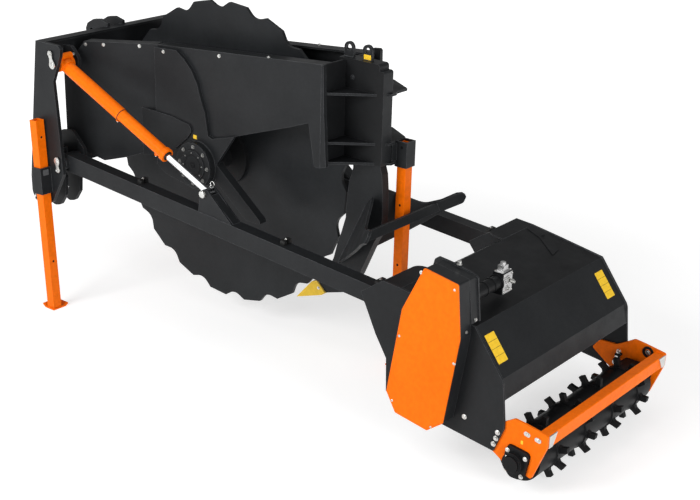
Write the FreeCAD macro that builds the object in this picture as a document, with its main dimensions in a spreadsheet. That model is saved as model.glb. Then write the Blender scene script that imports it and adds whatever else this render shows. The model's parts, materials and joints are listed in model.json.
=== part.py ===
import FreeCAD, Part
import Sketcher
import os
import re
import math

from FreeCAD import Vector, Rotation, Placement

# ---------------------------------------------------------------------------
# Three-point forestry ripper plough: headstock, scalloped coulter disc, ripper
# tine with mouldboard wings, and a mulcher head with packer roller carried on
# two hinged beams.  +Y points at the tractor, +X is the machine's right hand,
# +Z is up and the ground is at Z = 0.  Shapes are laid out from the disc axle
# (Y = 0) and every sub-part is moved by the same shift to the frame's origin.
# ---------------------------------------------------------------------------

doc = FreeCAD.newDocument("ForestryPlough")
sheet = doc.addObject("Spreadsheet::Sheet", "Sizes")
sheet.Label = "Sizes"
S = {}
_row = [1]


def size(alias, value, note=""):
    r = _row[0]
    _row[0] += 1
    sheet.set("A%d" % r, alias)
    sheet.set("B%d" % r, "%.6g" % value)
    sheet.set("C%d" % r, note)
    sheet.setAlias("B%d" % r, alias)
    S[alias] = float("%.6g" % value)


# --- driving dimensions (mm, degrees) --------------------------------------
size("shiftx", 11.5, "frame origin shift, X")
size("shifty", 816.6, "frame origin shift, Y (axle to the middle of the length)")
size("axlez", 1147.0, "disc axle above ground")
size("discrad", 1000.0, "coulter disc, tip radius")
size("discnotch", 948.0, "coulter disc, radius at the bottom of a scallop")
size("discthick", 24.0, "coulter disc thickness")
size("axlerad", 55.0, "disc axle radius")
size("hubx", 326.0, "outer face of the hub cap")
size("hubring", 147.0, "hub housing outer radius")
size("hubcap", 98.0, "hub cap radius")
size("headx", 670.0, "outer face of the headstock sides")
size("headthick", 25.0, "headstock side plate")
size("clevisx", 470.0, "inner face of the inner clevis plates")
size("clevisthick", 25.0, "inner clevis plate")
size("beamx", 570.0, "centre line of the carrying beams")
size("beamwide", 90.0, "carrying beam width")
size("beamdeep", 110.0, "carrying beam depth")
size("beamwall", 8.0, "carrying beam wall")
size("beamtilt", 4.6, "slope of the beams at rest")
size("pivoty", 905.0, "beam pivot, Y")
size("pivotz", 1037.0, "beam pivot, Z")
size("pivotrad", 30.0, "beam pivot pin radius")
size("panelx", 250.0, "outer face of the side panels")
size("panelthick", 12.0, "side panel plate")
size("flangewide", 78.0, "inward top flange of the side panels")
size("hubplate", 25.0, "hub plate thickness")
size("shankthick", 60.0, "ripper shank thickness")
size("ribthick", 15.0, "carrier rib plate")
size("legtube", 65.0, "stand tube, outside")
size("legwall", 6.0, "stand tube wall")
size("sleeve", 87.0, "stand sleeve, outside")
size("sleevebore", 67.0, "stand sleeve, inside")
size("cylpin", 17.5, "lift cylinder pin radius")
size("barrel", 43.0, "lift cylinder, thick barrel radius")
size("barrelslim", 38.0, "lift cylinder, slim barrel radius")
size("rodrad", 20.0, "lift cylinder rod radius")
size("cylheady", 915.0, "cylinder head pin, Y")
size("cylheadz", 1690.0, "cylinder head pin, Z")
size("cylfooty", -373.0, "cylinder foot pin, Y")
size("cylfootz", 1115.0, "cylinder foot pin, Z")
size("hoodx", 676.0, "outer face of the hood sides")
size("hoodthick", 12.0, "hood side plate")
size("hoodskin", 8.0, "hood skin")
size("rotory", -2130.0, "mulcher rotor axis, Y")
size("rotorz", 400.0, "mulcher rotor axis, Z")
size("rotordrum", 90.0, "rotor drum radius")
size("rotortip", 190.0, "rotor hammer tip radius")
size("rollery", -2709.0, "packer roller axis, Y")
size("rollerz", 188.0, "packer roller axis, Z")
size("rollerdrum", 128.0, "packer roller drum radius")
size("rollertip", 188.0, "packer roller tooth tip radius")
size("rollerhalf", 620.0, "packer roller half length")
size("rollerplatex", 664.0, "outer face of the roller plates")
size("rollerplate", 15.0, "roller plate thickness")


def ex(e):
    """turn an expression in aliases into one that reads the sheet"""
    return re.sub(r"[A-Za-z_]+", lambda m: ("Sizes." + m.group(0)) if m.group(0) in S else m.group(0), str(e))


def num(e):
    """the same expression as a number"""
    if not isinstance(e, str):
        return float(e)
    out = 0.0
    for sign, term in re.findall(r"([+-]?)\s*([^+-]+)", e):
        v = 1.0
        op = "*"
        for tok in re.findall(r"[*/]|[A-Za-z]+|[0-9.]+", term):
            if tok in "*/":
                op = tok
            else:
                t = S[tok] if tok in S else float(tok)
                v = v * t if op == "*" else v / t
        out += -v if sign == "-" else v
    return out


def bind(obj, prop, e):
    if isinstance(e, str):
        obj.setExpression(prop, ex(e))
    else:
        obj.setExpression(prop, "%.6g" % float(e)) if "." in prop else setattr(obj, prop, e)


def place(obj, x, y, z, rot=None):
    if rot is not None:
        obj.Placement = Placement(Vector(0, 0, 0), rot)
    for ax, e in zip("xyz", (x, y, z)):
        obj.setExpression("Placement.Base." + ax, ex(e) if isinstance(e, str) else "%.6g" % float(e))
    obj_base[obj.Name] = (x, y, z)


obj_base = {}
_n = [0]


def uid(p):
    _n[0] += 1
    return "%s_%03d" % (p, _n[0])


def box(lx, ly, lz, x, y, z, rot=None):
    """a block from its corner; sizes and corner may be expressions"""
    o = doc.addObject("Part::Box", uid("Block"))
    for p, e in (("Length", lx), ("Width", ly), ("Height", lz)):
        if isinstance(e, str):
            o.setExpression(p, ex(e))
        else:
            setattr(o, p, e)
    place(o, x, y, z, rot)
    return o


RX = Rotation(Vector(0, 1, 0), 90)      # Z axis laid along +X
RY = Rotation(Vector(1, 0, 0), -90)     # Z axis laid along +Y


def cyl(r, h, x, y, z, rot=RX):
    o = doc.addObject("Part::Cylinder", uid("Round"))
    for p, e in (("Radius", r), ("Height", h)):
        if isinstance(e, str):
            o.setExpression(p, ex(e))
        else:
            setattr(o, p, e)
    place(o, x, y, z, rot)
    return o


def loop(pts):
    """points (a, b) or (a, b, r) to the edges of a closed outline with rounded corners"""
    n = len(pts)
    ends = []
    for i in range(n):
        p = Vector(pts[i][0], pts[i][1], 0)
        r = pts[i][2] if len(pts[i]) > 2 else 0.0
        a = Vector(pts[i - 1][0], pts[i - 1][1], 0)
        b = Vector(pts[(i + 1) % n][0], pts[(i + 1) % n][1], 0)
        if r <= 0:
            ends.append((p, None, p))
            continue
        u = (a - p).normalize()
        v = (b - p).normalize()
        ang = u.getAngle(v)
        t = r / math.tan(ang / 2.0)
        t = min(t, 0.49 * (a - p).Length, 0.49 * (b - p).Length)
        rr = t * math.tan(ang / 2.0)
        s, e = p + u * t, p + v * t
        c = p + (u + v).normalize() * (rr / math.sin(ang / 2.0))
        m = c + (p - c).normalize() * rr
        ends.append((s, m, e))
    out = []
    for i in range(n):
        s, m, e = ends[i]
        if m is not None:
            out.append(Part.Arc(s, m, e))
        nxt = ends[(i + 1) % n][0]
        if (nxt - e).Length > 1e-6:
            out.append(Part.LineSegment(e, nxt))
    return out


PLANES = {"YZ": "YZ_Plane", "XY": "XY_Plane", "XZ": "XZ_Plane"}


def pad(plane, pts, thick, x, y, z, holes=(), cuts=()):
    """a sketched plate: outline in the plane, round holes and inner outlines, padded"""
    b = doc.addObject("PartDesign::Body", uid("Plate"))
    sk = b.newObject("Sketcher::SketchObject", uid("Outline"))
    pl = [f for f in b.Origin.OriginFeatures if f.Role == PLANES[plane]][0]
    sk.AttachmentSupport = [(pl, "")]
    sk.MapMode = "FlatFace"
    sk.addGeometry(loop(pts), False)
    for a, c, r in holes:
        rr = num(r)
        i = sk.addGeometry(Part.Circle(Vector(a, c, 0), Vector(0, 0, 1), rr), False)
        k = sk.addConstraint(Sketcher.Constraint("Radius", i, rr))
        if isinstance(r, str):
            sk.setExpression("Constraints[%d]" % k, ex(r))
    for c in cuts:
        sk.addGeometry(loop(c), False)
    p = b.newObject("PartDesign::Pad", uid("Pad"))
    p.Profile = sk
    if isinstance(thick, str):
        p.setExpression("Length", ex(thick))
    else:
        p.Length = thick
    b.Tip = p
    place(b, x, y, z)
    return b


def revolve(pts, x, y, z, rot=None):
    """a turned piece: outline (radius, height) turned about its own Z, laid along X by default"""
    b = doc.addObject("PartDesign::Body", uid("Turned"))
    sk = b.newObject("Sketcher::SketchObject", uid("Outline"))
    pl = [f for f in b.Origin.OriginFeatures if f.Role == "XZ_Plane"][0]
    sk.AttachmentSupport = [(pl, "")]
    sk.MapMode = "FlatFace"
    sk.addGeometry(loop(pts), False)
    r = b.newObject("PartDesign::Revolution", uid("Turn"))
    r.Profile = sk
    r.ReferenceAxis = (sk, ["V_Axis"])
    r.Angle = 360.0
    b.Tip = r
    place(b, x, y, z, rot if rot is not None else RX)
    return b


def fuse(*objs):
    objs = [o for o in objs if o is not None]
    if len(objs) == 1:
        return objs[0]
    o = doc.addObject("Part::MultiFuse", uid("Joined"))
    o.Shapes = list(objs)
    return o


def cut(a, *tools):
    o = doc.addObject("Part::Cut", uid("Cut"))
    o.Base = a
    o.Tool = fuse(*tools)
    return o


def common(a, b):
    o = doc.addObject("Part::Common", uid("Common"))
    o.Base = a
    o.Tool = b
    return o


def custom(shape):
    o = doc.addObject("Part::Feature", uid("Shaped"))
    o.Shape = shape
    return o


def mirror(obj):
    """the same piece on the other side of the machine's centre plane"""
    o = doc.addObject("Part::Mirroring", uid("Mirrored"))
    o.Source = obj
    o.Normal = Vector(1, 0, 0)
    o.Base = Vector(0, 0, 0)
    return o


NODES = []


def node(label, obj):
    """finish a sub-part: its own name and the shift to the frame's origin"""
    w = doc.addObject("Part::Compound", uid("Group"))
    w.Links = [obj]
    w.setExpression("Placement.Base.x", "Sizes.shiftx")
    w.setExpression("Placement.Base.y", "Sizes.shifty")
    w.Label = label
    NODES.append((label, w))
    return w


def along(y, z, dy, dz):
    """rotation about X that lays the local +Y axis along (dy, dz)"""
    return Rotation(Vector(1, 0, 0), math.degrees(math.atan2(dz, dy)))


def slab(pts2, origin, xdir, normal, thick):
    """a plate in any plane: outline in its own axes, padded along its normal"""
    zx = Vector(*normal).normalize()
    xx = Vector(*xdir)
    xx = (xx - zx * xx.dot(zx)).normalize()
    yx = zx.cross(xx)
    b = pad("XY", pts2, thick, 0, 0, 0)
    place(b, origin[0], origin[1], origin[2], Rotation(xx, yx, zx, "ZXY"))
    return b


# ===========================================================================
# Headstock
# ===========================================================================
SIDE = [(1067, 1833), (1127, 1392), (1192, 892), (1190, 775, 60), (1140, 712, 40), (985, 745, 40), (859, 968),
        (885, 1304), (912, 1586), (834, 1765, 20), (826, 1812), (850, 1833)]
side = cut(pad("YZ", SIDE, "headthick", "-headx", 0, 0, holes=[(1118, 768, 28)]),
           cyl("pivotrad", "headthick", "-headx+8", "pivoty", "pivotz"), cyl("cylpin", "headthick", "-headx+8", "cylheady", "cylheadz"))
node("headstock_side_left", side)
node("headstock_side_right", mirror(side))

# top beam: box section with a lip along its rear upper edge and the inner lugs
# that carry the heads of the lift cylinders
LUG = [(1010, 1790), (1010, 1640), (920, 1632, 40), (864, 1668, 36), (866, 1724, 36), (930, 1790, 30)]
lug = pad("YZ", LUG, "clevisthick", "-clevisx-clevisthick", 0, 0, holes=[(S["cylheady"], S["cylheadz"], "cylpin")])
node("top_cross_beam", fuse(
    cut(box("headx*2-headthick*2", 60, 193, "-headx+headthick", 1010, 1640),
        box("headx*2-headthick*2-40", 40, 173, "-headx+headthick+20", 1020, 1650)),
    box("headx*2-headthick*2", 14, 14, "-headx+headthick", 996, 1819),
    lug, mirror(lug)))

# lower beam: box section with the inner clevis plates of the carrying beams
CLEVIS = [(1085, 1195, 20), (965, 1220, 30), (850, 1110, 30), (850, 975, 30), (1020, 955), (1020, 1090), (1085, 1090)]
clevis = pad("YZ", CLEVIS, "clevisthick", "-clevisx-clevisthick", 0, 0, holes=[(S["pivoty"], S["pivotz"], "pivotrad")])
node("lower_cross_beam", fuse(
    cut(box("headx*2-headthick*2", 100, 130, "-headx+headthick", 1020, 960),
        box("headx*2-headthick*2-40", 80, 110, "-headx+headthick+20", 1030, 970)),
    clevis, mirror(clevis)))

# top link ears: two chamfered plates standing forward of the top beam
TOPEAR = [(1070, 1645), (1165, 1655, 40), (1245, 1735, 30), (1266, 1790, 25), (1246, 1832, 20), (1185, 1866, 20), (1120, 1876, 20), (1042, 1858, 6),
          (1042, 1833), (1070, 1833)]
topear = pad("YZ", TOPEAR, 25, -78, 0, 0, holes=[(1205, 1790, 16)])
node("top_link_bracket", fuse(topear, mirror(topear)))

# lower link ears: two plates each side, hung under the lower beam
LOWEAR = [(1120, 960), (1190, 900, 60), (1185, 740, 60), (1110, 672, 50), (1040, 690, 40), (985, 770, 20), (975, 900, 20), (1020, 960)]
ear_a = pad("YZ", LOWEAR, 25, -557.5, 0, 0, holes=[(1118, 768, 18.5)])
ear_b = pad("YZ", LOWEAR, 25, -432.5, 0, 0, holes=[(1118, 768, 18.5)])
ears_l = fuse(ear_a, ear_b)
node("lower_link_ears", fuse(ears_l, mirror(ears_l)))

# ===========================================================================
# Side panels, front shields, hub plates and hub housings
# ===========================================================================
PANEL = [(382, 1852), (-985, 1957), (-985, 1330), (-940, 1330), (-891, 1589), (-747, 1535), (-283, 1377), (-92, 1322), (382, 1250)]
web = pad("YZ", PANEL, "panelthick", "-panelx", 0, 0)
flange = pad("YZ", [(382, 1852), (-985, 1957), (-985, 1945), (382, 1840)], "flangewide", "-panelx+panelthick", 0, 0)
panel = fuse(web, flange)
node("side_panel_left", panel)
node("side_panel_right", mirror(panel))

# front shield: an oblique plate from the headstock to the side panel, with a
# lobe lying on the hub plate
PA = (-250.0, 382.0)
PB = (-450.0, 1065.0)
PL = math.hypot(PB[0] - PA[0], PB[1] - PA[1])
COSY = (PB[1] - PA[1]) / PL
YAW = math.degrees(math.atan2(-(PB[0] - PA[0]), PB[1] - PA[1]))


def lon(y):
    """distance along the shield for a given Y"""
    return (y - PA[1]) / COSY


SHIELD = [(0, 1852), (lon(904), 1812), (lon(1006), 1672), (lon(1006), 1640), (lon(1028), 1636), (lon(1065), 1590), (lon(1065), 1090),
          (lon(1016), 1090), (lon(1010), 1085), (lon(790), 1015), (lon(625), 1063), (0, 1160)]
shield = pad("YZ", SHIELD, 12, 0, 0, 0)
place(shield, PA[0], PA[1], 0, Rotation(Vector(0, 0, 1), YAW))
shlip = pad("YZ", [(8, 1851.4), (lon(904), 1812), (lon(904), 1800), (8, 1839.4)], 70, 0, 0, 0)
place(shlip, PA[0] + 12, PA[1], 0, Rotation(Vector(0, 0, 1), YAW))
LOBE = [(500, 1423), (382, 1421), (231, 1417), (179, 1408, 30), (72, 1392, 20), (46, 1358, 20), (86, 1302, 20), (197, 1207, 40), (382, 1130, 30), (500, 1100)]
lobe = pad("YZ", LOBE, 12, "-panelx-hubplate-12", 0, 0)
behind = pad("XY", [(-200, 382), (-250, 382), (-450, 1065), (-200, 1065)], 1200, 0, 0, 900)
shield_all = fuse(shield, shlip, cut(lobe, behind))
node("front_shield_left", shield_all)
node("front_shield_right", mirror(shield_all))

# hub plate with its scraper arm
HUB = [(382, 1060), (300, 1010, 80), (20, 960, 120), (-150, 1060, 60), (-159, 1178), (-310, 1387),
       (-117, 1333), (-85, 1345), (-59, 1489), (-26, 1569), (6, 1665), (52, 1742), (121, 1807), (190, 1850), (382, 1838)]
hubp = pad("YZ", HUB, "hubplate", "-panelx-hubplate", 0, 0, holes=[(0, S["axlez"], 100)])
SCRAPER = [(-150, 1178), (-524, 888, 10), (-530, 862, 10), (-407, 862), (-150, 1060)]
arm = pad("YZ", SCRAPER, 60, "-panelx-hubplate", 0, 0)
hub_l = fuse(hubp, arm)
node("hub_plate_left", hub_l)
node("hub_plate_right", mirror(hub_l))

# hub housing: flanged bearing housing on the hub plate, closed by a bolted cap
hous = revolve([(0, 0), (S["hubcap"], 0), (S["hubcap"], 6), (S["hubring"], 6), (S["hubring"], 20), (S["hubring"] - 7, 24), (S["hubring"] - 7, 57),
                (S["axlerad"] + 0.05, 57), (S["axlerad"] + 0.05, 20), (0, 20)], "-hubx-6", 0, "axlez")
node("hub_housing_left", hous)
node("hub_housing_right", mirror(hous))

# ===========================================================================
# Coulter disc: twenty flat-topped scallops, clamped between axle flanges
# ===========================================================================
pts = []
SCALLOPS = 20
for k in range(SCALLOPS):
    c = 5.5 + 360.0 / SCALLOPS * k
    for d in (-4.2, 4.2):
        a = math.radians(c + d)
        pts.append((S["discrad"] * math.cos(a), S["discrad"] * math.sin(a)))
    a = math.radians(c + 180.0 / SCALLOPS)
    pts.append((S["discnotch"] * math.cos(a), S["discnotch"] * math.sin(a), 90))
disc = pad("YZ", pts, "discthick", "-discthick/2", 0, "axlez", holes=[(0, 0, "axlerad")])
node("coulter_disc", disc)
R = S["axlerad"]
node("disc_axle", revolve(
    [(0, -310), (R, -310), (R, -120), (R + 20, -110), (R + 20, -50), (190, -40), (190, -12), (R, -12), (R, 12), (190, 12), (190, 40),
     (R + 20, 50), (R + 20, 110), (R, 120), (R, 310), (0, 310)], 0, 0, "axlez"))

# ===========================================================================
# Ripper carrier, lugs, shank, mouldboards, point
# ===========================================================================
ENDP = [(-985, 1957), (-998, 1957), (-1006, 1700), (-1030, 1345), (-985, 1330)]
endp = pad("YZ", ENDP, 25, "-panelx", 0, 0)
ENDR = [(-985, 1976), (-1044, 1982, 15), (-1050, 1700), (-1045, 1345), (-985, 1330)]
endr = pad("YZ", ENDR, 25, "panelx-25", 0, 0)
wall = box(450, 12, 600, -225, -998, 1357)
RIB = [(-225, -990), (-225, -1006), (8, -1300, 8), (60, -1300, 8), (80, -1290), (80, -1281.5), (190, -1281.5), (300, -1100), (250, -1046), (225, -990)]
ribs = [pad("XY", RIB, "ribthick", 0, 0, z) for z in (1775, 1477)]
SILL = [(-225, -990), (-225, -1016), (22, -1308, 8), (76, -1308, 8), (82, -1281.5), (190, -1281.5), (300, -1100), (250, -1046), (225, -990)]
ribs.append(pad("XY", SILL, "ribthick", 0, 0, 1355))
TALL = [(-950, 1966), (-1250, 1966, 20), (-1250, 1927), (-1283, 1927, 15), (-1283, 1357), (-990, 1357), (-990, 1800), (-950, 1840)]
column = pad("YZ", TALL, 90, -45, 0, 0)
slot = pad("YZ", [(-1020, 1345), (-1020, 1951), (-1235, 1951), (-1235, 1912), (-1268, 1912), (-1268, 1345)], "shankthick", "-shankthick/2", 0, 0)
node("ripper_carrier", cut(fuse(endp, endr, wall, column, *ribs), slot))

EYE1 = [(-1027, 1966), (-1027, 2056, 35.5), (-955, 2056, 35.5), (-955, 1966)]
EYE2 = [(-1165, 1966), (-1165, 2057, 35.5), (-1093, 2057, 35.5), (-1093, 1966)]
node("lifting_lugs", fuse(pad("YZ", EYE1, 16, -8, 0, 0, holes=[(-991, 2021, 19)]),
                          pad("YZ", EYE2, 16, -8, 0, 0, holes=[(-1129, 2021, 19)])))

SHANK = [(-1063, 1300), (-1037, 1207), (-1025, 1124), (-1015, 968), (-983, 861), (-956, 788), (-928, 680), (-880, 575), (-800, 490), (-870, 425),
         (-1016, 470), (-1100, 560), (-1132, 617), (-1240, 862), (-1284, 938, 40), (-1295, 1040, 60), (-1292, 1196), (-1282, 1300), (-1267, 1345),
         (-1267, 1600), (-1060, 1600)]
node("ripper_shank", pad("YZ", SHANK, "shankthick", "-shankthick/2", 0, 0))

TIP = [(-633, 332), (-759, 474), (-800, 490), (-870, 425), (-843, 403)]
tipb = pad("YZ", TIP, 80, -40, 0, 0)
node("ripper_point", tipb)


def wing():
    """mouldboard: a plate swept outward and rearward from the shank, its upper edge dipped and its tip rounded"""
    A = Vector(-30, -965, 655)
    T = Vector(-30, -1172, 1090)
    N = Vector(-480, -1534, 1108)
    nrm = (T - A).cross(N - A).normalize()
    xx = (N - A).normalize()
    yy = nrm.cross(xx)

    def uv(x, y, z, r=0):
        d = Vector(x, y, z) - A
        return (d.dot(xx), d.dot(yy), r)

    outline = [uv(10, -965, 655), uv(-30, -965, 655), uv(-288, -1265, 878), uv(-340, -1338, 930, 60), uv(-413, -1435, 1011, 60), uv(-492, -1520, 1062, 24),
               uv(-489, -1542, 1112, 20), uv(-462, -1528, 1133, 16), uv(-433, -1507, 1130, 20), uv(-373, -1440, 1087, 80), uv(-300, -1376, 1066, 90),
               uv(-217, -1326, 1100, 80), uv(-120, -1270, 1160, 40), uv(-78, -1240, 1170, 20), uv(-30, -1176, 1112), uv(10, -1172, 1090)]
    b = pad("XY", outline, 16, 0, 0, 0)
    place(b, A.x, A.y, A.z, Rotation(xx, yy, nrm, "ZXY"))
    return b, A, xx, yy, nrm


wb, WA, WX, WY, WN = wing()
core = box(60, 500, 900, -30, -1400, 500)
wing_l = cut(wb, core)
node("mouldboard_left", wing_l)
# the right one is notched where the rear stand passes
node("mouldboard_right", cut(mirror(wing_l), box(78, 78, 300, 96, -1364, 1020)))

# tie bar across the back of the mouldboards
bar = box(960, 14, 62, -480, -1430, 1004)
outer = pad("XY", [(-300, -600), (1200, -600), (1200, 600), (-300, 600)], 600, 0, 0, 0)
side_sign = 1.0 if WN.y > 0 else -1.0
if side_sign > 0:
    place(outer, WA.x, WA.y, WA.z, Rotation(WX, WY, WN, "ZXY"))
else:
    place(outer, WA.x + WN.x * (16 - 600), WA.y + WN.y * (16 - 600), WA.z + WN.z * (16 - 600), Rotation(WX, WY, WN, "ZXY"))
node("mouldboard_tie_bar", cut(bar, outer, mirror(outer)))

# ===========================================================================
# Stands
# ===========================================================================
LEAN = math.degrees(math.atan2(1080 - 1009, 1315 - 96))
LEGX = -(S["headx"] + S["sleeve"] / 2.0)
YB = 1009 - 96 * math.tan(math.radians(LEAN)) - S["legtube"] / 2.0 / math.cos(math.radians(LEAN))
LROT = Rotation(Vector(1, 0, 0), -LEAN)


def lean_box(lx, ly, z0, z1, cx):
    """a block centred on the leg line, between two distances up that line"""
    b = box(lx, ly, z1 - z0, 0, 0, 0)
    p = Vector(0, math.sin(math.radians(LEAN)) * z0, math.cos(math.radians(LEAN)) * z0)
    o = LROT.multVec(Vector(0, -(S[ly] if isinstance(ly, str) else ly) / 2.0, 0))
    half = (S[lx] if isinstance(lx, str) else lx) / 2.0
    place(b, cx - half, YB + p.y + o.y, p.z + o.z, LROT)
    return b


leg = cut(lean_box("legtube", "legtube", 3, 1320, LEGX), lean_box(53, 53, 20, 1330, LEGX), box(200, 200, 60, LEGX - 100, YB - 100, -50))
foot = fuse(pad("XZ", [(-42, 0), (62, 0), (86, 14), (82, 23), (59, 10), (-42, 10)], 90, LEGX, YB + 50, 0),
            pad("YZ", [(-8, 0), (0, 0), (24, 14), (20, 23), (-2, 10), (-8, 10)], 94, LEGX - 37, YB + 56, 0))
node("front_stand_left", fuse(leg, foot))
node("front_stand_right", mirror(fuse(leg, foot)))
bore = lean_box(65.1, 65.1, 800, 1020, LEGX)
slv = cut(lean_box("sleeve", "sleeve", 821, 1000, LEGX), bore)
node("front_stand_sleeves", fuse(slv, mirror(slv)))

RSX, RSY = 135.0, -1325.0
rleg = cut(box("legtube", "legtube", 1473, RSX - 32.5, RSY - 32.5, 3), box(53, 53, 1480, RSX - 26.5, RSY - 26.5, 20))
rfoot = pad("XZ", [(-40, 0), (40, 0), (60, 14), (56, 23), (37, 10), (-37, 10), (-56, 23), (-60, 14)], 90, RSX, RSY + 45, 0)
node("rear_stand", fuse(rleg, rfoot))
rslv = cut(box("sleeve", "sleeve", 160, RSX - S["sleeve"] / 2.0, RSY - S["sleeve"] / 2.0, 1330),
           box(65.1, 65.1, 200, RSX - 32.55, RSY - 32.55, 1300))
plate = box(RSX - S["sleeve"] / 2.0 - 45, 30, 107, 45, -1295, 1370)
node("rear_stand_bracket", fuse(rslv, plate))

# ===========================================================================
# Carrying beams, hinged on the headstock
# ===========================================================================
TB = math.radians(S["beamtilt"])
UB = (-math.cos(TB), -math.sin(TB))
NB = (-math.sin(TB), math.cos(TB))


def on_beam(s_, h_):
    return (S["pivoty"] + UB[0] * s_ + NB[0] * h_, S["pivotz"] + UB[1] * s_ + NB[1] * h_)


HD = S["beamdeep"] / 2.0
BEAM = [on_beam(-54, HD) + (54,), on_beam(-54, -HD) + (54,), on_beam(2662, -HD), on_beam(2716, HD)]
CORE = [on_beam(70, HD - 8), on_beam(70, -HD + 8), on_beam(2640, -HD + 8), on_beam(2680, HD - 8)]
tube = pad("YZ", BEAM, "beamwide", "-beamx-beamwide/2", 0, 0)
void = pad("YZ", CORE, "beamwide-beamwall*2", "-beamx-beamwide/2+beamwall", 0, 0)
bosses = cyl(50, 142, "-beamx-71", "pivoty", "pivotz")
bracket = []
BRK = [(-325, 991), (-345, 1126, 20), (-391, 1155, 30), (-608, 968)]
for x in ("-beamx-40", "-beamx+28"):
    bracket.append(pad("YZ", BRK, 12, x, 0, 0, holes=[(S["cylfooty"], S["cylfootz"], 15)]))
strip = pad("YZ", [(-430, 1116), (-608, 974), (-608, 966), (-590, 966), (-430, 1096)], 56, "-beamx-28", 0, 0)
beam_l = cut(fuse(cut(tube, void), bosses, strip, *bracket), cyl("pivotrad+0.05", 200, "-beamx-100", "pivoty", "pivotz"))
node("beam_left", beam_l)
node("beam_right", mirror(beam_l))

# pins of the headstock: beam pivots and cylinder heads, seated in the side plates
pv = cyl("pivotrad", "headx-clevisx-8", "-headx+8", "pivoty", "pivotz")
pc = cyl("cylpin", "headx-clevisx-8", "-headx+8", "cylheady", "cylheadz")
pins_side = fuse(pv, pc)
node("frame_pins", fuse(pins_side, mirror(pins_side)))

# pins at the feet of the cylinders
rp = cyl(15, 108, "-beamx-54", "cylfooty", "cylfootz")
rp2 = fuse(rp, cyl(22, 6, "-beamx-46", "cylfooty", "cylfootz"), cyl(22, 6, "-beamx+40", "cylfooty", "cylfootz"))
node("rod_pins", fuse(rp2, mirror(rp2)))

# ===========================================================================
# Lift cylinders
# ===========================================================================
CY = S["cylfooty"] - S["cylheady"]
CZ = S["cylfootz"] - S["cylheadz"]
CL = math.hypot(CY, CZ)
CROT = Rotation(Vector(0, 0, 1), Vector(0, CY, CZ))
CX = -S["beamx"]


def on_cyl(d):
    return (CX, S["cylheady"] + CY / CL * d, S["cylheadz"] + CZ / CL * d)


eye = cyl(42, 70, CX - 35, "cylheady", "cylheadz")
barrel = revolve([(0, 30), (S["barrel"], 30), (S["barrel"], 585), (S["barrelslim"], 592), (S["barrelslim"], 1000), (43, 1004), (43, 1030),
                  (S["rodrad"] + 0.05, 1030), (S["rodrad"] + 0.05, 600), (0, 600)], *on_cyl(0), rot=CROT)
barrel_l = cut(fuse(eye, barrel), cyl("cylpin+0.05", 100, CX - 50, "cylheady", "cylheadz"))
node("cylinder_barrel_left", barrel_l)
node("cylinder_barrel_right", mirror(barrel_l))
rod = revolve([(0, 910), (S["rodrad"], 910), (S["rodrad"], CL - 30), (0, CL - 30)], *on_cyl(0), rot=CROT)
reye = cyl(38, 50, CX - 25, "cylfooty", "cylfootz")
rod_l = cut(fuse(rod, reye), cyl(24, 80, CX - 40, "cylfooty", "cylfootz"))
node("cylinder_rod_left", rod_l)
node("cylinder_rod_right", mirror(rod_l))

# ===========================================================================
# Mulcher head
# ===========================================================================
HSIDE = [(-1652, 865), (-1801, 971), (-1920, 962), (-2114, 932), (-2414, 882), (-2601, 636), (-2610, 614), (-2635, 390), (-2634, 356),
         (-2576, 206), (-2250, 244), (-1851, 315), (-1843, 516), (-1763, 642)]
hside = pad("YZ", HSIDE, "hoodthick", "-hoodx", 0, 0, holes=[(S["rotory"], S["rotorz"], 60)])
node("hood_side_left", hside)
node("hood_side_right", mirror(hside))

# hood skin: folded sheet between the sides
SKIN_O = [(-1852, 911), (-1925, 958), (-2114, 928), (-2410, 878), (-2597, 634), (-2621, 519)]


def offset(pts, d):
    """the same open line moved sideways by d"""
    out = []
    n = len(pts)
    for i in range(n):
        dirs = []
        if i > 0:
            dirs.append((pts[i][0] - pts[i - 1][0], pts[i][1] - pts[i - 1][1]))
        if i < n - 1:
            dirs.append((pts[i + 1][0] - pts[i][0], pts[i + 1][1] - pts[i][1]))
        ns = []
        for a, b in dirs:
            l = math.hypot(a, b)
            ns.append((b / l, -a / l))
        if len(ns) == 1:
            nx, ny = ns[0]
            k = 1.0
        else:
            nx, ny = ns[0][0] + ns[1][0], ns[0][1] + ns[1][1]
            l = math.hypot(nx, ny)
            nx, ny = nx / l, ny / l
            k = 1.0 / max(0.3, nx * ns[0][0] + ny * ns[0][1])
        out.append((pts[i][0] + nx * d * k, pts[i][1] + ny * d * k))
    return out


inner = offset(SKIN_O, -S["hoodskin"])
if inner[2][1] > SKIN_O[2][1]:
    inner = offset(SKIN_O, S["hoodskin"])
skin = pad("YZ", SKIN_O + inner[::-1], "hoodx*2-hoodthick*2", "-hoodx+hoodthick", 0, 0)
fronttube = cut(box("hoodx*2-hoodthick*2", 90, 90, "-hoodx+hoodthick", -1895, 740), box("hoodx*2-hoodthick*2-60", 74, 74, "-hoodx+hoodthick+30", -1887, 748))
frontwall = pad("YZ", [(-1852, 911), (-1862, 904), (-1840, 830), (-1832, 830)], "hoodx*2-hoodthick*2", "-hoodx+hoodthick", 0, 0)
flap = pad("XY", [(-664, 0), (-340, 0), (-340, 124.7, 70), (-664, 124.7)], 8, 0, 0, 0)
place(flap, 0, -1925, 950, Rotation(Vector(1, 0, 0), 6.0))
node("mulcher_hood", fuse(skin, frontwall, flap, mirror(flap)))
node("hood_front_tube", fronttube)
GUSSET = [(-1655, 865, 8), (-1714, 792, 8), (-1804.5, 752), (-1804.5, 830.5), (-1831.5, 830.5), (-1851, 912.5), (-1893, 939.5), (-1893, 951), (-1801, 960.5), (-1780, 950)]
gus = pad("YZ", GUSSET, "hoodthick", -386, 0, 0)
node("hood_gussets", fuse(gus, mirror(gus)))

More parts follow.
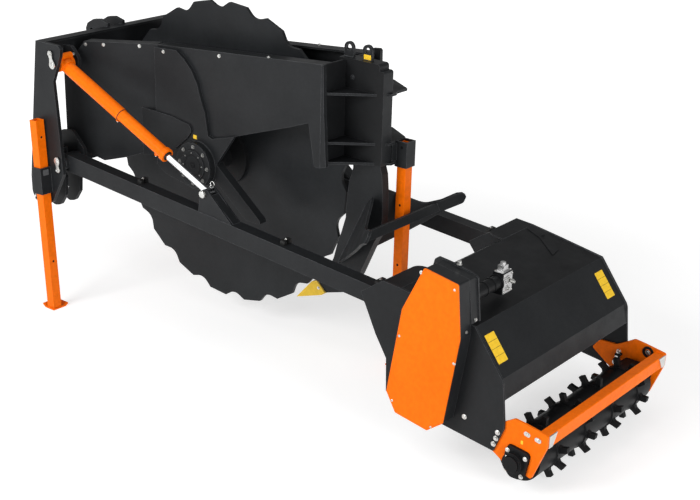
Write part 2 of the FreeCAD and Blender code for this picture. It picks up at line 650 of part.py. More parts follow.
# spacers that bolt the hood sides to the beams
SPC = [(-1668, 800), (-1668, 862), (-1795, 868), (-1795, 800)]
spc = pad("YZ", SPC, "hoodx-hoodthick-beamx-beamwide/2", "-hoodx+hoodthick", 0, 0)
node("beam_spacers", fuse(spc, mirror(spc)))

# rotor with hammers, its bearings outside the hood sides
drum = cut(cyl("rotordrum", 1300, -650, "rotory", "rotorz"), cyl("rotordrum-20", 1240, -620, "rotory", "rotorz"))
shaft = fuse(cyl(35, 90, -710, "rotory", "rotorz"), cyl(35, 90, 620, "rotory", "rotorz"))
teeth = []
ROWS = 4
for i in range(20):
    a = 360.0 / 5 * 2 * i + 11.0
    x = -610 + i * 62
    t = box(40, 60, 110, 0, 0, 0)
    r_ = Rotation(Vector(1, 0, 0), a)
    o = r_.multVec(Vector(0, -30, 80))
    place(t, x, S["rotory"] + o.y, S["rotorz"] + o.z, r_)
    teeth.append(t)
node("mulcher_rotor", fuse(drum, shaft, *teeth))
rb = revolve([(35.05, 0), (75, 0), (75, 20), (105, 20), (105, 34), (35.05, 34)], "-hoodx-34", "rotory", "rotorz")
node("rotor_bearings", fuse(rb, mirror(rb)))

# belt drive: guard box and orange cover on the left
COVER = [(-2146, 1172, 12), (-2363, 1137, 12), (-2392, 837, 12), (-2313, 316, 12), (-2213, 239, 12), (-1996, 272, 12), (-1931, 383, 12), (-2014, 900, 12)]
CORE2 = [(-2150, 1164), (-2356, 1131), (-2384, 837), (-2306, 320), (-2210, 247), (-2000, 279), (-1939, 385), (-2022, 901)]
node("belt_guard", pad("YZ", COVER, 8, -780, 0, 0))
guard = cut(pad("YZ", COVER, 96, -772, 0, 0), pad("YZ", CORE2, 96, -772, 0, 0))
node("guard_box", guard)
UPPER = [(-2146, 1172, 12), (-2363, 1137, 12), (-2392, 890), (-2114, 936), (-2012, 952)]
MPLATE = [(-2094, 1161, 15), (-2118, 1180, 15), (-2230, 1168), (-2336, 1148, 15), (-2372, 1130, 12), (-2398, 889), (-2114, 936), (-2040, 948)]
node("motor_mount", fuse(pad("YZ", UPPER, 76, -676, 0, 0), pad("YZ", MPLATE, 12, -612, 0, 0)))

# hydraulic motor on the guard's inner side: neck, flange, valve block and top fitting
mot = fuse(cyl(58, 14, -600, -2315, 1003), cyl(38, 256, -586, -2315, 1003), box(96, 66, 124, -330, -2350, 932), cyl(47, 12, -342, -2315, 1000),
           box(44, 40, 34, -304, -2336, 1056), cyl(15, 16, -282, -2316, 1090, Rotation()))
node("hydraulic_motor", mot)

# roller carriers, cross bar, bearings and the toothed packer roller
RP = [(-2417, 301, 12), (-2461, 360, 20), (-2569, 364, 30), (-2625, 394, 30), (-2688, 434, 30), (-2751, 427, 30), (-2885, 405, 10), (-2893, 399, 8),
      (-2891, 326, 30), (-2813, 122, 12), (-2781, 128, 8), (-2806, 268, 26), (-2668, 285, 26), (-2650, 240, 20), (-2642, 152, 4), (-2586, 187, 20), (-2550, 205, 20)]
rpl = pad("YZ", RP, "rollerplate", "-rollerplatex", 0, 0)
node("roller_plate_left", rpl)
node("roller_plate_right", mirror(rpl))
ANGLE = [(-2831, 400), (-2891, 400, 6), (-2891, 326), (-2881, 326), (-2881, 390), (-2831, 390)]
node("roller_crossbar", pad("YZ", ANGLE, "rollerplatex*2-rollerplate*2", "-rollerplatex+rollerplate", 0, 0))
clip = pad("XZ", [(-649, 328), (-612, 328), (-570, 397), (-649, 397)], 6, 0, -2891, 0)
node("crossbar_clips", fuse(clip, mirror(clip)))
# bearing: backing plate, flange in the arch of the roller plate, housing and cap
BACK = [(-2628, 128, 20), (-2636, 303, 20), (-2806, 303, 20), (-2823, 262, 20), (-2800, 112, 20), (-2752, 84, 40), (-2680, 84, 40)]
FLANGE = [(-2645, 146, 10), (-2653, 238, 16), (-2671, 281, 22), (-2802, 265, 24), (-2780, 126, 14), (-2750, 98, 40), (-2690, 96, 40)]
bb = fuse(pad("YZ", BACK, 10, "-rollerplatex+rollerplate", 0, 0), pad("YZ", FLANGE, 31, -680, 0, 0), cyl(60, 22, -700, "rollery", "rollerz"), cyl(44, 14, -714, "rollery", "rollerz"))
bb = cut(bb, cyl(35.05, 71, -704, "rollery", "rollerz"))
node("roller_bearings", fuse(bb, mirror(bb)))
rdrum = cut(cyl("rollerdrum", "rollerhalf*2", "-rollerhalf", "rollery", "rollerz"),
            cyl("rollerdrum-12", "rollerhalf*2-40", "-rollerhalf+20", "rollery", "rollerz"))
rshaft = fuse(cyl(35, 98, -698, "rollery", "rollerz"), cyl(35, 98, 600, "rollery", "rollerz"))
spikes = []
for x, first in ((-425, 11), (-125, 34), (175, 14), (475, 32)):
    spikes.append(cut(cyl("rollerdrum+7", 44, x - 22, "rollery", "rollerz"), cyl("rollerdrum-6", 60, x - 30, "rollery", "rollerz")))
    for k in range(10):
        r_ = Rotation(Vector(1, 0, 0), 90.0 - (first + 36.0 * k))
        t = pad("YZ", [(-29, 118), (28, 118), (10, 150), (14, 187, 5), (-20, 183, 5), (-22, 150)], 26, 0, 0, 0)
        place(t, x - 13, S["rollery"], S["rollerz"], r_)
        spikes.append(t)
node("packer_roller", fuse(rdrum, rshaft, *spikes))

# ---------------------------------------------------------------------------
# check every object and every sub-part, then write the pieces
# ---------------------------------------------------------------------------
doc.recompute()
for o in doc.Objects:
    if "Invalid" in o.State or "Error" in o.State:
        raise RuntimeError("object %s failed: %s" % (o.Name, o.State))
for label, o in NODES:
    sh = o.Shape
    if sh.isNull() or not sh.isValid():
        raise RuntimeError("sub-part %s has no valid shape" % label)
    if not sh.Solids:
        raise RuntimeError("sub-part %s has no solid" % label)
os.makedirs("parts", exist_ok=True)
for label, o in NODES:
    o.Shape.exportStep(os.path.join("parts", label + ".step"))
bb_ = FreeCAD.BoundBox()
for label, o in NODES:
    bb_.add(o.Shape.BoundBox)
    print("%-24s solids %d  volume %.0f cm3" % (label, len(o.Shape.Solids), o.Shape.Volume / 1000.0))
print("box X %.1f %.1f  Y %.1f %.1f  Z %.1f %.1f" % (bb_.XMin, bb_.XMax, bb_.YMin, bb_.YMax, bb_.ZMin, bb_.ZMax))
print("volume %.4f m3" % (sum(o.Shape.Volume for _, o in NODES) / 1e9))
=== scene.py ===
import bpy
import bmesh
import json
import math
import random
from mathutils import Vector, Matrix, Quaternion


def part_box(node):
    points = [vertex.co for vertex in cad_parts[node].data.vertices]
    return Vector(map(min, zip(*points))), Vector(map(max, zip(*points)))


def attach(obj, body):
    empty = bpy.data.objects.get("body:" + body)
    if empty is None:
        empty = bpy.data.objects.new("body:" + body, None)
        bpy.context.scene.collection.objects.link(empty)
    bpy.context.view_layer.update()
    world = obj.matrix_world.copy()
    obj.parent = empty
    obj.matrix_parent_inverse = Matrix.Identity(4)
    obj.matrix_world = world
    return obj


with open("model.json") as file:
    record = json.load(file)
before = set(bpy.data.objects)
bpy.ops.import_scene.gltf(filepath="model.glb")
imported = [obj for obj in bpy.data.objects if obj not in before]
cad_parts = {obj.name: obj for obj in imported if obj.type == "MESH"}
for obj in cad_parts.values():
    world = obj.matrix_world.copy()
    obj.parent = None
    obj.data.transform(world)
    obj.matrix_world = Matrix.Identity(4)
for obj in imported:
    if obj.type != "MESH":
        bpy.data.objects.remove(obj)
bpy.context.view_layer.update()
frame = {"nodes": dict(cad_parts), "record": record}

random.seed(7)
NODES = frame["nodes"]
D0, D1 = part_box("coulter_disc")
SX = (D0[0] + D1[0]) / 2.0 * 1000.0        # the disc's middle in the frame, mm
SY = (D0[1] + D1[1]) / 2.0 * 1000.0        # the disc axle's Y in the frame, mm


def W(x, y, z):
    """millimetres from the disc's middle and its axle's line to metres in the frame"""
    return Vector(((x + SX) / 1000.0, (y + SY) / 1000.0, z / 1000.0))


# ---------------------------------------------------------------------------
# camera
# ---------------------------------------------------------------------------
cam_data = bpy.data.cameras.new("view_camera")
cam = bpy.data.objects.new("view_camera", cam_data)
bpy.context.scene.collection.objects.link(cam)
right = Vector((0.6284858781974852, -0.7774030413994044, 0.02549533544183139))
down = Vector((-0.269602671358039, -0.24847010033011463, -0.9303639120465453))
fwd = Vector((0.7296025633884142, 0.577846969763534, -0.365749885894933))
m = Matrix.Identity(4)
for i in range(3):
    m[i][0] = right[i]
    m[i][1] = -down[i]
    m[i][2] = -fwd[i]
p = W(-6206.658, -5948.064, 3860.968)
m[0][3], m[1][3], m[2][3] = p
cam.matrix_world = m
cam_data.sensor_fit = "HORIZONTAL"
cam_data.sensor_width = 36.0
cam_data.lens = 36.0 * 1372.727 / 700.0
cam_data.clip_start = 0.1
cam_data.clip_end = 200.0
bpy.context.scene.camera = cam


# ---------------------------------------------------------------------------
# materials
# ---------------------------------------------------------------------------
class Nodes:
    """small helper to write a node tree"""

    def __init__(self, name):
        self.mat = bpy.data.materials.new(name)
        self.mat.use_nodes = True
        self.t = self.mat.node_tree
        self.t.nodes.clear()
        self.out = self.t.nodes.new("ShaderNodeOutputMaterial")
        self.bsdf = self.t.nodes.new("ShaderNodeBsdfPrincipled")
        self.t.links.new(self.bsdf.outputs[0], self.out.inputs[0])
        self.co = self.t.nodes.new("ShaderNodeTexCoord").outputs["Object"]

    def new(self, kind, **kw):
        n = self.t.nodes.new(kind)
        for k, v in kw.items():
            if hasattr(n, k):
                setattr(n, k, v)
        return n

    def link(self, a, b):
        self.t.links.new(a, b)

    def noise(self, scale, detail=3.0, rough=0.5, stretch=None):
        n = self.new("ShaderNodeTexNoise")
        n.inputs["Scale"].default_value = scale
        n.inputs["Detail"].default_value = detail
        n.inputs["Roughness"].default_value = rough
        co = self.co
        if stretch:
            mp = self.new("ShaderNodeMapping")
            mp.inputs["Scale"].default_value = stretch
            self.link(co, mp.inputs["Vector"])
            co = mp.outputs[0]
        self.link(co, n.inputs["Vector"])
        return n.outputs["Fac"]

    def ramp(self, fac, stops, interp="LINEAR"):
        r = self.new("ShaderNodeValToRGB")
        r.color_ramp.interpolation = interp
        while len(r.color_ramp.elements) < len(stops):
            r.color_ramp.elements.new(0.5)
        for e, (pos, col) in zip(r.color_ramp.elements, stops):
            e.position = pos
            e.color = tuple(col) + (1.0,) if len(col) == 3 else tuple(col)
        self.link(fac, r.inputs["Fac"])
        return r.outputs["Color"]

    def rng(self, fac, lo, hi, a=0.3, b=0.7):
        r = self.new("ShaderNodeMapRange")
        r.inputs["From Min"].default_value = a
        r.inputs["From Max"].default_value = b
        r.inputs["To Min"].default_value = lo
        r.inputs["To Max"].default_value = hi
        self.link(fac, r.inputs["Value"])
        return r.outputs["Result"]

    def mix(self, fac, a, b, blend="MIX"):
        n = self.new("ShaderNodeMix", data_type="RGBA", blend_type=blend)
        if isinstance(fac, float):
            n.inputs[0].default_value = fac
        else:
            self.link(fac, n.inputs[0])
        for sock, v in ((n.inputs[6], a), (n.inputs[7], b)):
            if isinstance(v, (tuple, list)):
                sock.default_value = tuple(v) + (1.0,) if len(v) == 3 else tuple(v)
            else:
                self.link(v, sock)
        return n.outputs[2]

    def bump(self, height, strength, distance, normal=None):
        b = self.new("ShaderNodeBump")
        b.inputs["Strength"].default_value = strength
        b.inputs["Distance"].default_value = distance
        self.link(height, b.inputs["Height"])
        if normal is not None:
            self.link(normal, b.inputs["Normal"])
        return b.outputs["Normal"]

    def edge(self, radius=0.004, samples=4):
        """a mask that is high along corners, for a painted edge highlight"""
        bev = self.new("ShaderNodeBevel", samples=samples)
        bev.inputs["Radius"].default_value = radius
        geo = self.new("ShaderNodeNewGeometry")
        dot = self.new("ShaderNodeVectorMath", operation="DOT_PRODUCT")
        self.link(bev.outputs[0], dot.inputs[0])
        self.link(geo.outputs["Normal"], dot.inputs[1])
        return self.rng(dot.outputs["Value"], 1.0, 0.0, 0.80, 0.995)


def paint(name, base, dark, light, rough=0.4, coat=0.0, orange_peel=0.25, dust=0.0, spec=0.5, edge=None, scuff=0.0):
    """sprayed machine enamel: slight mottling, orange peel, dust in soft patches, lighter corners painted as an edge
    highlight
    """
    n = Nodes(name)
    big = n.noise(2.6, 4.0, 0.6)
    fine = n.noise(38.0, 5.0, 0.6)
    col = n.ramp(big, [(0.30, dark), (0.5, base), (0.72, light)])
    speck = n.ramp(fine, [(0.35, (0.92, 0.92, 0.92)), (0.65, (1.06, 1.06, 1.06))])
    col = n.mix(1.0, col, speck, "MULTIPLY")
    if dust > 0:
        geo = n.new("ShaderNodeNewGeometry")
        sep = n.new("ShaderNodeSeparateXYZ")
        n.link(geo.outputs["Normal"], sep.inputs[0])
        up = n.rng(sep.outputs["Z"], 0.0, dust, 0.35, 0.95)
        patch = n.noise(5.0, 6.0, 0.65)
        mul = n.new("ShaderNodeMath", operation="MULTIPLY")
        n.link(up, mul.inputs[0])
        n.link(n.rng(patch, 0.3, 1.0, 0.35, 0.65), mul.inputs[1])
        col = n.mix(mul.outputs[0], col, (0.16, 0.17, 0.19))
    # corners are lightened as a painted highlight, varied by noise
    if edge is not None:
        mask = n.edge(edge[1])
        edge_highlight_noise = n.noise(22.0, 5.0, 0.7)
        mul = n.new("ShaderNodeMath", operation="MULTIPLY")
        n.link(mask, mul.inputs[0])
        n.link(n.rng(edge_highlight_noise, edge[2] * 0.35, edge[2], 0.35, 0.62), mul.inputs[1])
        col = n.mix(mul.outputs[0], col, edge[0])
    rough_v = n.rng(n.noise(9.0, 4.0, 0.6), rough - 0.06, rough + 0.08)
    if scuff > 0:
        # faint handling scuffs, stretched along the sheet
        sc = n.noise(26.0, 6.0, 0.75, (1.0, 0.12, 2.6))
        add = n.new("ShaderNodeMath", operation="ADD")
        n.link(rough_v, add.inputs[0])
        n.link(n.rng(sc, 0.0, scuff, 0.55, 0.75), add.inputs[1])
        rough_v = add.outputs[0]
    n.link(col, n.bsdf.inputs["Base Color"])
    n.link(rough_v, n.bsdf.inputs["Roughness"])
    n.bsdf.inputs["Specular IOR Level"].default_value = spec
    n.bsdf.inputs["Coat Weight"].default_value = coat
    n.bsdf.inputs["Coat Roughness"].default_value = 0.18
    nrm = n.bump(n.noise(420.0, 2.0, 0.5), orange_peel, 0.0004)
    nrm = n.bump(n.noise(7.0, 2.0, 0.5), 0.10, 0.0010, nrm)
    n.link(nrm, n.bsdf.inputs["Normal"])
    return n.mat


def metal(name, base, dark, rough=0.3, stretch=(1, 1, 1), bump=0.2, metallic=1.0):
    """bare or plated metal with fine machining marks"""
    n = Nodes(name)
    marks = n.noise(60.0, 4.0, 0.7, stretch)
    cloud = n.noise(14.0, 4.0, 0.6)
    col = n.ramp(cloud, [(0.3, dark), (0.7, base)])
    n.link(col, n.bsdf.inputs["Base Color"])
    n.bsdf.inputs["Metallic"].default_value = metallic
    n.link(n.rng(marks, rough - 0.07, rough + 0.12), n.bsdf.inputs["Roughness"])
    n.link(n.bump(marks, bump, 0.0004), n.bsdf.inputs["Normal"])
    return n.mat


# lighter colour, radius and strength of the painted edge highlight along corners; the other edge= tuples below paint
# the same highlight
EDGE_HIGHLIGHT = ((0.120, 0.124, 0.132), 0.0045, 0.80)
M = {}
M["charcoal"] = paint("charcoal_enamel", (0.0135, 0.0145, 0.0158), (0.0112, 0.0120, 0.0132), (0.0162, 0.0174, 0.0188), rough=0.42, coat=0.0, dust=0.0, spec=0.15, edge=EDGE_HIGHLIGHT, scuff=0.10)
# darker charcoal: the own paint of some parts, and painted shade on the hood's top sheet and in the ripper carrier's
# pockets
M["charcoal_dark"] = paint("charcoal_enamel_dark", (0.0075, 0.0079, 0.0086), (0.0060, 0.0063, 0.0068), (0.0095, 0.0100, 0.0108), rough=0.46, coat=0.0, dust=0.02, spec=0.14, edge=((0.05, 0.052, 0.056), 0.0035, 0.5))
M["disc"] = paint("disc_enamel", (0.0130, 0.0142, 0.0156), (0.0105, 0.0114, 0.0126), (0.0158, 0.0172, 0.0188), rough=0.38, coat=0.0, dust=0.02, spec=0.15, edge=((0.05, 0.053, 0.057), 0.0030, 0.45), scuff=0.12)
M["orange"] = paint("orange_enamel", (0.875, 0.152, 0.0024), (0.855, 0.145, 0.0020), (0.895, 0.160, 0.0030), rough=0.36, coat=0.02, orange_peel=0.18, spec=0.06, edge=((0.98, 0.27, 0.03), 0.0030, 0.3), scuff=0.05)
M["yellow"] = paint("yellow_enamel", (0.66, 0.43, 0.035), (0.55, 0.35, 0.025), (0.76, 0.51, 0.06), rough=0.42, coat=0.0, spec=0.2, edge=((0.60, 0.55, 0.40), 0.004, 0.7))
M["label"] = paint("label_film", (0.87, 0.55, 0.030), (0.84, 0.53, 0.028), (0.90, 0.57, 0.034), rough=0.40, coat=0.02, orange_peel=0.05, spec=0.2)
M["label_grey"] = paint("label_film_grey", (0.085, 0.088, 0.092), (0.070, 0.072, 0.076), (0.100, 0.103, 0.108), rough=0.42, coat=0.0, orange_peel=0.05, spec=0.2)
M["chrome"] = metal("hard_chrome", (0.86, 0.87, 0.88), (0.80, 0.81, 0.82), rough=0.12, bump=0.04)
M["zinc"] = metal("zinc_plate", (0.72, 0.72, 0.70), (0.56, 0.56, 0.54), rough=0.30, bump=0.15)
# a darker copy of the zinc plate: painted shade, used for the hub bolts
M["zinc_painted_shade"] = metal("zinc_plate_shaded", (0.34, 0.34, 0.33), (0.24, 0.24, 0.23), rough=0.38, bump=0.15)
M["steel"] = metal("turned_steel", (0.42, 0.42, 0.43), (0.30, 0.30, 0.31), rough=0.33, stretch=(8, 1, 1))
M["alu"] = metal("cast_aluminium", (0.62, 0.62, 0.62), (0.45, 0.45, 0.45), rough=0.42, bump=0.3)
M["rubber"] = paint("black_rubber", (0.010, 0.010, 0.010), (0.008, 0.008, 0.008), (0.014, 0.014, 0.014), rough=0.6, spec=0.3)
# near-black paint: painted shade standing for the inside of bores
M["hole"] = paint("unlit_bore", (0.0035, 0.0035, 0.0038), (0.003, 0.003, 0.003), (0.0045, 0.0045, 0.0048), rough=0.8, spec=0.1)


def give(obj, mat):
    obj.data.materials.clear()
    obj.data.materials.append(mat)


SLOT_MAT = {"charcoal_paint": "charcoal", "orange_paint": "orange", "yellow_paint": "yellow", "chrome_rod": "chrome",
            "zinc_pin": "zinc", "axle_steel": "steel", "motor_metal": "charcoal_dark"}
for sp in frame["record"]["subparts"]:
    o = NODES.get(sp["node"])
    if o is None:
        continue
    key = SLOT_MAT.get(sp["material_slot"], "charcoal")
    if sp["node"] == "coulter_disc":
        key = "disc"
    elif sp["node"] in ("packer_roller", "roller_bearings", "disc_axle"):
        key = "charcoal_dark"
    o.data.materials.clear()
    o.data.materials.append(M[key])
    if sp["node"] == "mulcher_hood":
        # the flat top sheet gets the darker paint as painted shade, darker than the sloped sheets
        o.data.materials.append(M["charcoal_dark"])
        for poly in o.data.polygons:
            if (o.matrix_world.to_3x3() @ poly.normal).z > 0.9:
                poly.material_index = 1
    if sp["node"] == "hydraulic_motor":
        # its top fitting is bare metal
        o.data.materials.append(M["alu"])
        for poly in o.data.polygons:
            if (o.matrix_world @ poly.center).z > 1.0565:
                poly.material_index = 1
    if sp["node"] == "ripper_carrier":
        # the flat walls in the deep pockets between the ribs get the darker paint: painted shade of the pockets
        o.data.materials.append(M["charcoal_dark"])
        for poly in o.data.polygons:
            c = o.matrix_world @ poly.center
            nn = o.matrix_world.to_3x3() @ poly.normal
            if max(abs(nn.x), abs(nn.y), abs(nn.z)) > 0.95 and 44.0 < abs(c.x * 1000.0 - SX) < 226.0 and c.y * 1000.0 - SY > -1279.0:
                poly.material_index = 1


# soft corners on every carried-over plate and tube
def soften(obj, width=0.0012, segments=2, angle=30):
    for poly in obj.data.polygons:
        poly.use_smooth = True
    b = obj.modifiers.new("corner", "BEVEL")
    b.width = width
    b.segments = segments
    b.limit_method = "ANGLE"
    b.angle_limit = math.radians(angle)
    b.harden_normals = True
    b.use_clamp_overlap = True
    b.miter_outer = "MITER_ARC"


for name, o in NODES.items():
    if o.type == "MESH":
        soften(o)


# ---------------------------------------------------------------------------
# floor and light
# ---------------------------------------------------------------------------
def floor():
    me = bpy.data.meshes.new("studio_floor")
    bm = bmesh.new()
    s = 60.0
    vs = [bm.verts.new(v) for v in ((-s, -s, -0.0005), (s, -s, -0.0005), (s, s, -0.0005), (-s, s, -0.0005))]
    bm.faces.new(vs)
    bm.to_mesh(me)
    bm.free()
    o = bpy.data.objects.new("studio_floor", me)
    bpy.context.scene.collection.objects.link(o)
    n = Nodes("studio_floor_paint")
    c = n.ramp(n.noise(0.6, 2.0, 0.5), [(0.3, (0.60, 0.60, 0.60)), (0.7, (0.62, 0.62, 0.62))])
    n.link(c, n.bsdf.inputs["Base Color"])
    n.bsdf.inputs["Roughness"].default_value = 0.9
    n.bsdf.inputs["Specular IOR Level"].default_value = 0.0
    # a lit white sweep: brighter away from the machine, so that it stays white
    geo = n.new("ShaderNodeNewGeometry")
    ln = n.new("ShaderNodeVectorMath", operation="LENGTH")
    n.link(geo.outputs["Position"], ln.inputs[0])
    n.bsdf.inputs["Emission Color"].default_value = (1.0, 1.0, 1.0, 1.0)
    n.link(n.rng(ln.outputs["Value"], 0.60, 0.97, 2.4, 6.0), n.bsdf.inputs["Emission Strength"])
    o.data.materials.append(n.mat)
    return o


floor()

world = bpy.data.worlds.new("studio")
bpy.context.scene.world = world
world.use_nodes = True
bg = world.node_tree.nodes["Background"]
bg.inputs["Color"].default_value = (1.0, 1.0, 1.0, 1.0)
bg.inputs["Strength"].default_value = 0.32


def area(name, pos, target, size, energy, color=(1, 1, 1), size_y=None):
    l = bpy.data.lights.new(name, "AREA")
    l.shape = "RECTANGLE"
    l.size = size
    l.size_y = size_y or size
    l.energy = energy
    l.color = color
    o = bpy.data.objects.new(name, l)
    o.location = pos
    d = Vector(target) - Vector(pos)
    o.rotation_euler = d.to_track_quat("-Z", "Y").to_euler()
    bpy.context.scene.collection.objects.link(o)
    return o


area("key_light", (-7.0, 1.6, 4.6), (0, -0.3, 0.8), 3.6, 390)
area("top_light", (-2.0, 1.5, 9.0), (0, 0, 0), 5.0, 110)
area("rear_light", (-2.5, -8.5, 3.2), (0, -0.5, 0.8), 4.0, 330)

# ---------------------------------------------------------------------------
# small mesh kit: everything below is laid out in millimetres from the disc's
# middle and its axle's line, and written to the frame by W()
# ---------------------------------------------------------------------------
def axes(axis, hint=(0.0, 0.0, 1.0)):
    z = Vector(axis).normalized()
    h = Vector(hint)
    if abs(z.dot(h)) > 0.95:
        h = Vector((0.0, 1.0, 0.0))
    x = h.cross(z).normalized()
    y = z.cross(x)
    return x, y, z


class Kit:
    """collects many small solids of one finish on one body into one piece"""

    def __init__(self, name, body, mat, slot):
        self.name, self.body, self.mat, self.slot = name, body, mat, slot
        self.bm = bmesh.new()

    def v(self, p):
        return self.bm.verts.new(W(*p))

    def rings(self, rings, close=True, cap=(True, True)):
        rows = [[self.v(p) for p in r] for r in rings]
        n = len(rows[0])
        for a, b in zip(rows, rows[1:]):
            for i in range(n if close else n - 1):
                j = (i + 1) % n
                self.bm.faces.new((a[i], a[j], b[j], b[i]))
        if cap[0]:
            self.bm.faces.new(rows[0][::-1])
        if cap[1]:
            self.bm.faces.new(rows[-1])
        return rows

    def turned(self, pos, axis, prof, n=28, phase=0.0):
        """a turned solid: (radius, height) pairs up its axis"""
        x, y, z = axes(axis)
        p0 = Vector(pos)
        rings = []
        for r, h in prof:
            rings.append([p0 + z * h + (x * math.cos(phase + 2 * math.pi * k / n) + y * math.sin(phase + 2 * math.pi * k / n)) * max(r, 0.05) for k in range(n)])
        self.rings(rings)

    def tubering(self, pos, axis, ro, ri, h, n=32, soft=0.8):
        """a washer or bush with an open bore"""
        x, y, z = axes(axis)
        p0 = Vector(pos)
        prof = [(ro, 0), (ro, h - soft), (ro - soft, h), (ri + soft, h), (ri, h - soft), (ri, 0)]
        rings = []
        for r, hh in prof:
            rings.append([p0 + z * hh + (x * math.cos(2 * math.pi * k / n) + y * math.sin(2 * math.pi * k / n)) * r for k in range(n)])
        rows = self.rings(rings, cap=(False, False))
        a, b = rows[-1], rows[0]
        for i in range(n):
            j = (i + 1) % n
            self.bm.faces.new((a[i], a[j], b[j], b[i]))

    def bolt(self, pos, axis, r=11.0, h=8.0, washer=True, phase=None, dome=False):
        """hex head bolt on its washer, facing along axis from pos"""
        if phase is None:
            phase = random.uniform(0, math.pi / 3)
        z = Vector(axis).normalized()
        p0 = Vector(pos)
        base = 0.0
        if washer:
            wt = max(1.8, r * 0.22)
            self.turned(p0, axis, [(r * 1.52, 0), (r * 1.52, wt * 0.7), (r * 1.44, wt)], 28)
            base = wt
        if dome:
            q = p0 + z * base
            self.turned(q, axis, [(r, 0), (r, h * 0.25), (r * 0.94, h * 0.55), (r * 0.78, h * 0.85), (r * 0.50, h), (r * 0.44, h), (r * 0.42, h * 0.55), (0, h * 0.5)], 24)
            return
        q = p0 + z * (base - 0.02)
        self.turned(q, axis, [(r, 0), (r, h * 0.82)], 6, phase)
        self.turned(q + z * (h * 0.80), axis, [(r * 0.93, 0), (r * 0.86, h * 0.17), (r * 0.80, h * 0.20), (r * 0.55, h * 0.17), (0, h * 0.16)], 24)

    def nut(self, pos, axis, r=11.0, h=9.0, stud=6.0):
        z = Vector(axis).normalized()
        p0 = Vector(pos)
        self.turned(p0, axis, [(r * 1.5, 0), (r * 1.5, 1.8), (r * 1.42, 2.4)], 24)
        self.turned(p0 + z * 2.3, axis, [(r, 0), (r, h * 0.85)], 6, random.uniform(0, 1))
        self.turned(p0 + z * (2.3 + h * 0.8), axis, [(r * 0.92, 0), (r * 0.84, h * 0.2), (r * 0.5, h * 0.2)], 20)
        if stud > 0:
            prof = []
            hh = 0.0
            while hh < stud + h:
                prof += [(r * 0.52, hh), (r * 0.46, hh + 0.9)]
                hh += 1.8
            prof.append((r * 0.40, hh))
            self.turned(p0 + z * 2.0, axis, prof, 14)

    def plate(self, outline, origin, u, v, t):
        """a flat plate: outline (a, b) along u and v, thickness t along u x v"""
        u = Vector(u).normalized()
        v = Vector(v).normalized()
        n = u.cross(v)
        o = Vector(origin)
        area2 = sum(outline[i - 1][0] * outline[i][1] - outline[i][0] * outline[i - 1][1] for i in range(len(outline)))
        if area2 < 0:
            outline = outline[::-1]
        lo = [o + u * a + v * b for a, b in outline]
        self.rings([lo, [p + n * t for p in lo]])

    def tube(self, pts, r, n=12, closed=False, rad=None):
        pts = [Vector(p) for p in pts]
        m_ = len(pts)
        rings = []
        prev = None
        for i, p_ in enumerate(pts):
            if closed:
                d = pts[(i + 1) % m_] - pts[i - 1]
            else:
                d = pts[min(i + 1, m_ - 1)] - pts[max(i - 1, 0)]
            d.normalize()
            if prev is None:
                x = axes(d)[0]
            else:
                x = (prev - d * prev.dot(d)).normalized()
            prev = x
            y = d.cross(x)
            rr = rad[i] if rad else r
            rings.append([p_ + (x * math.cos(2 * math.pi * k / n) + y * math.sin(2 * math.pi * k / n)) * rr for k in range(n)])
        if closed:
            rows = self.rings(rings, cap=(False, False))
            a, b = rows[-1], rows[0]
            # join the last ring to the first at the nearest rotation
            best = min(range(n), key=lambda s_: (a[0].co - b[s_].co).length)
            for i in range(n):
                j = (i + 1) % n
                self.bm.faces.new((a[i], a[j], b[(j + best) % n], b[(i + best) % n]))
        else:
            self.rings(rings)

    def weld(self, pts, r=3.6, step=5.5):
        """a run of overlapping weld ripples along a line"""
        pts = [Vector(p) for p in pts]
        path, rad = [], []
        for a, b in zip(pts, pts[1:]):
            L = (b - a).length
            k = max(2, int(L / step))
            for i in range(k):
                for f, q in ((0.0, 0.86), (0.42, 1.06), (0.80, 1.0)):
                    t = (i + f) / k
                    wob = Vector((random.uniform(-0.3, 0.3), random.uniform(-0.3, 0.3), random.uniform(-0.3, 0.3)))
                    path.append(a.lerp(b, t) + wob)
                    rad.append(r * q)
        path.append(pts[-1])
        rad.append(r * 0.7)
        self.tube(path, r, 7, rad=rad)

    def done(self, bevel=0.0, smooth=35.0, segments=2):
        bmesh.ops.recalc_face_normals(self.bm, faces=self.bm.faces)
        me = bpy.data.meshes.new(self.name)
        self.bm.to_mesh(me)
        self.bm.free()
        me.set_sharp_from_angle(angle=math.radians(smooth))
        for p_ in me.polygons:
            p_.use_smooth = True
        o = bpy.data.objects.new(self.name, me)
        bpy.context.scene.collection.objects.link(o)
        me.materials.append(M[self.mat])
        if bevel > 0:
            b = o.modifiers.new("corner", "BEVEL")
            b.width = bevel / 1000.0
            b.segments = segments
            b.limit_method = "ANGLE"
            b.angle_limit = math.radians(40)
            b.harden_normals = True
        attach(o, self.body)
        return o


def arc(cx, cy, r, a0, a1, n=10):
    return [(cx + r * math.cos(math.radians(a0 + (a1 - a0) * i / n)), cy + r * math.sin(math.radians(a0 + (a1 - a0) * i / n))) for i in range(n + 1)]


def rrect(w, h, r, n=5):
    """rounded rectangle centred on 0, 0"""
    out = []
    for cx, cy, a in ((w / 2 - r, h / 2 - r, 0), (-w / 2 + r, h / 2 - r, 90), (-w / 2 + r, -h / 2 + r, 180), (w / 2 - r, -h / 2 + r, 270)):
        out += arc(cx, cy, r, a, a + 90, n)
    return out


def teardrop(a, ra, b, rb, n=14):
    """outline round two circles of different size"""
    ax_, ay_ = a
    bx_, by_ = b
    L = math.hypot(bx_ - ax_, by_ - ay_)
    th = math.degrees(math.atan2(by_ - ay_, bx_ - ax_))
    ph = math.degrees(math.acos((ra - rb) / L))
    return arc(ax_, ay_, ra, th + ph, th + 360 - ph, n) + arc(bx_, by_, rb, th - ph, th + ph, n)


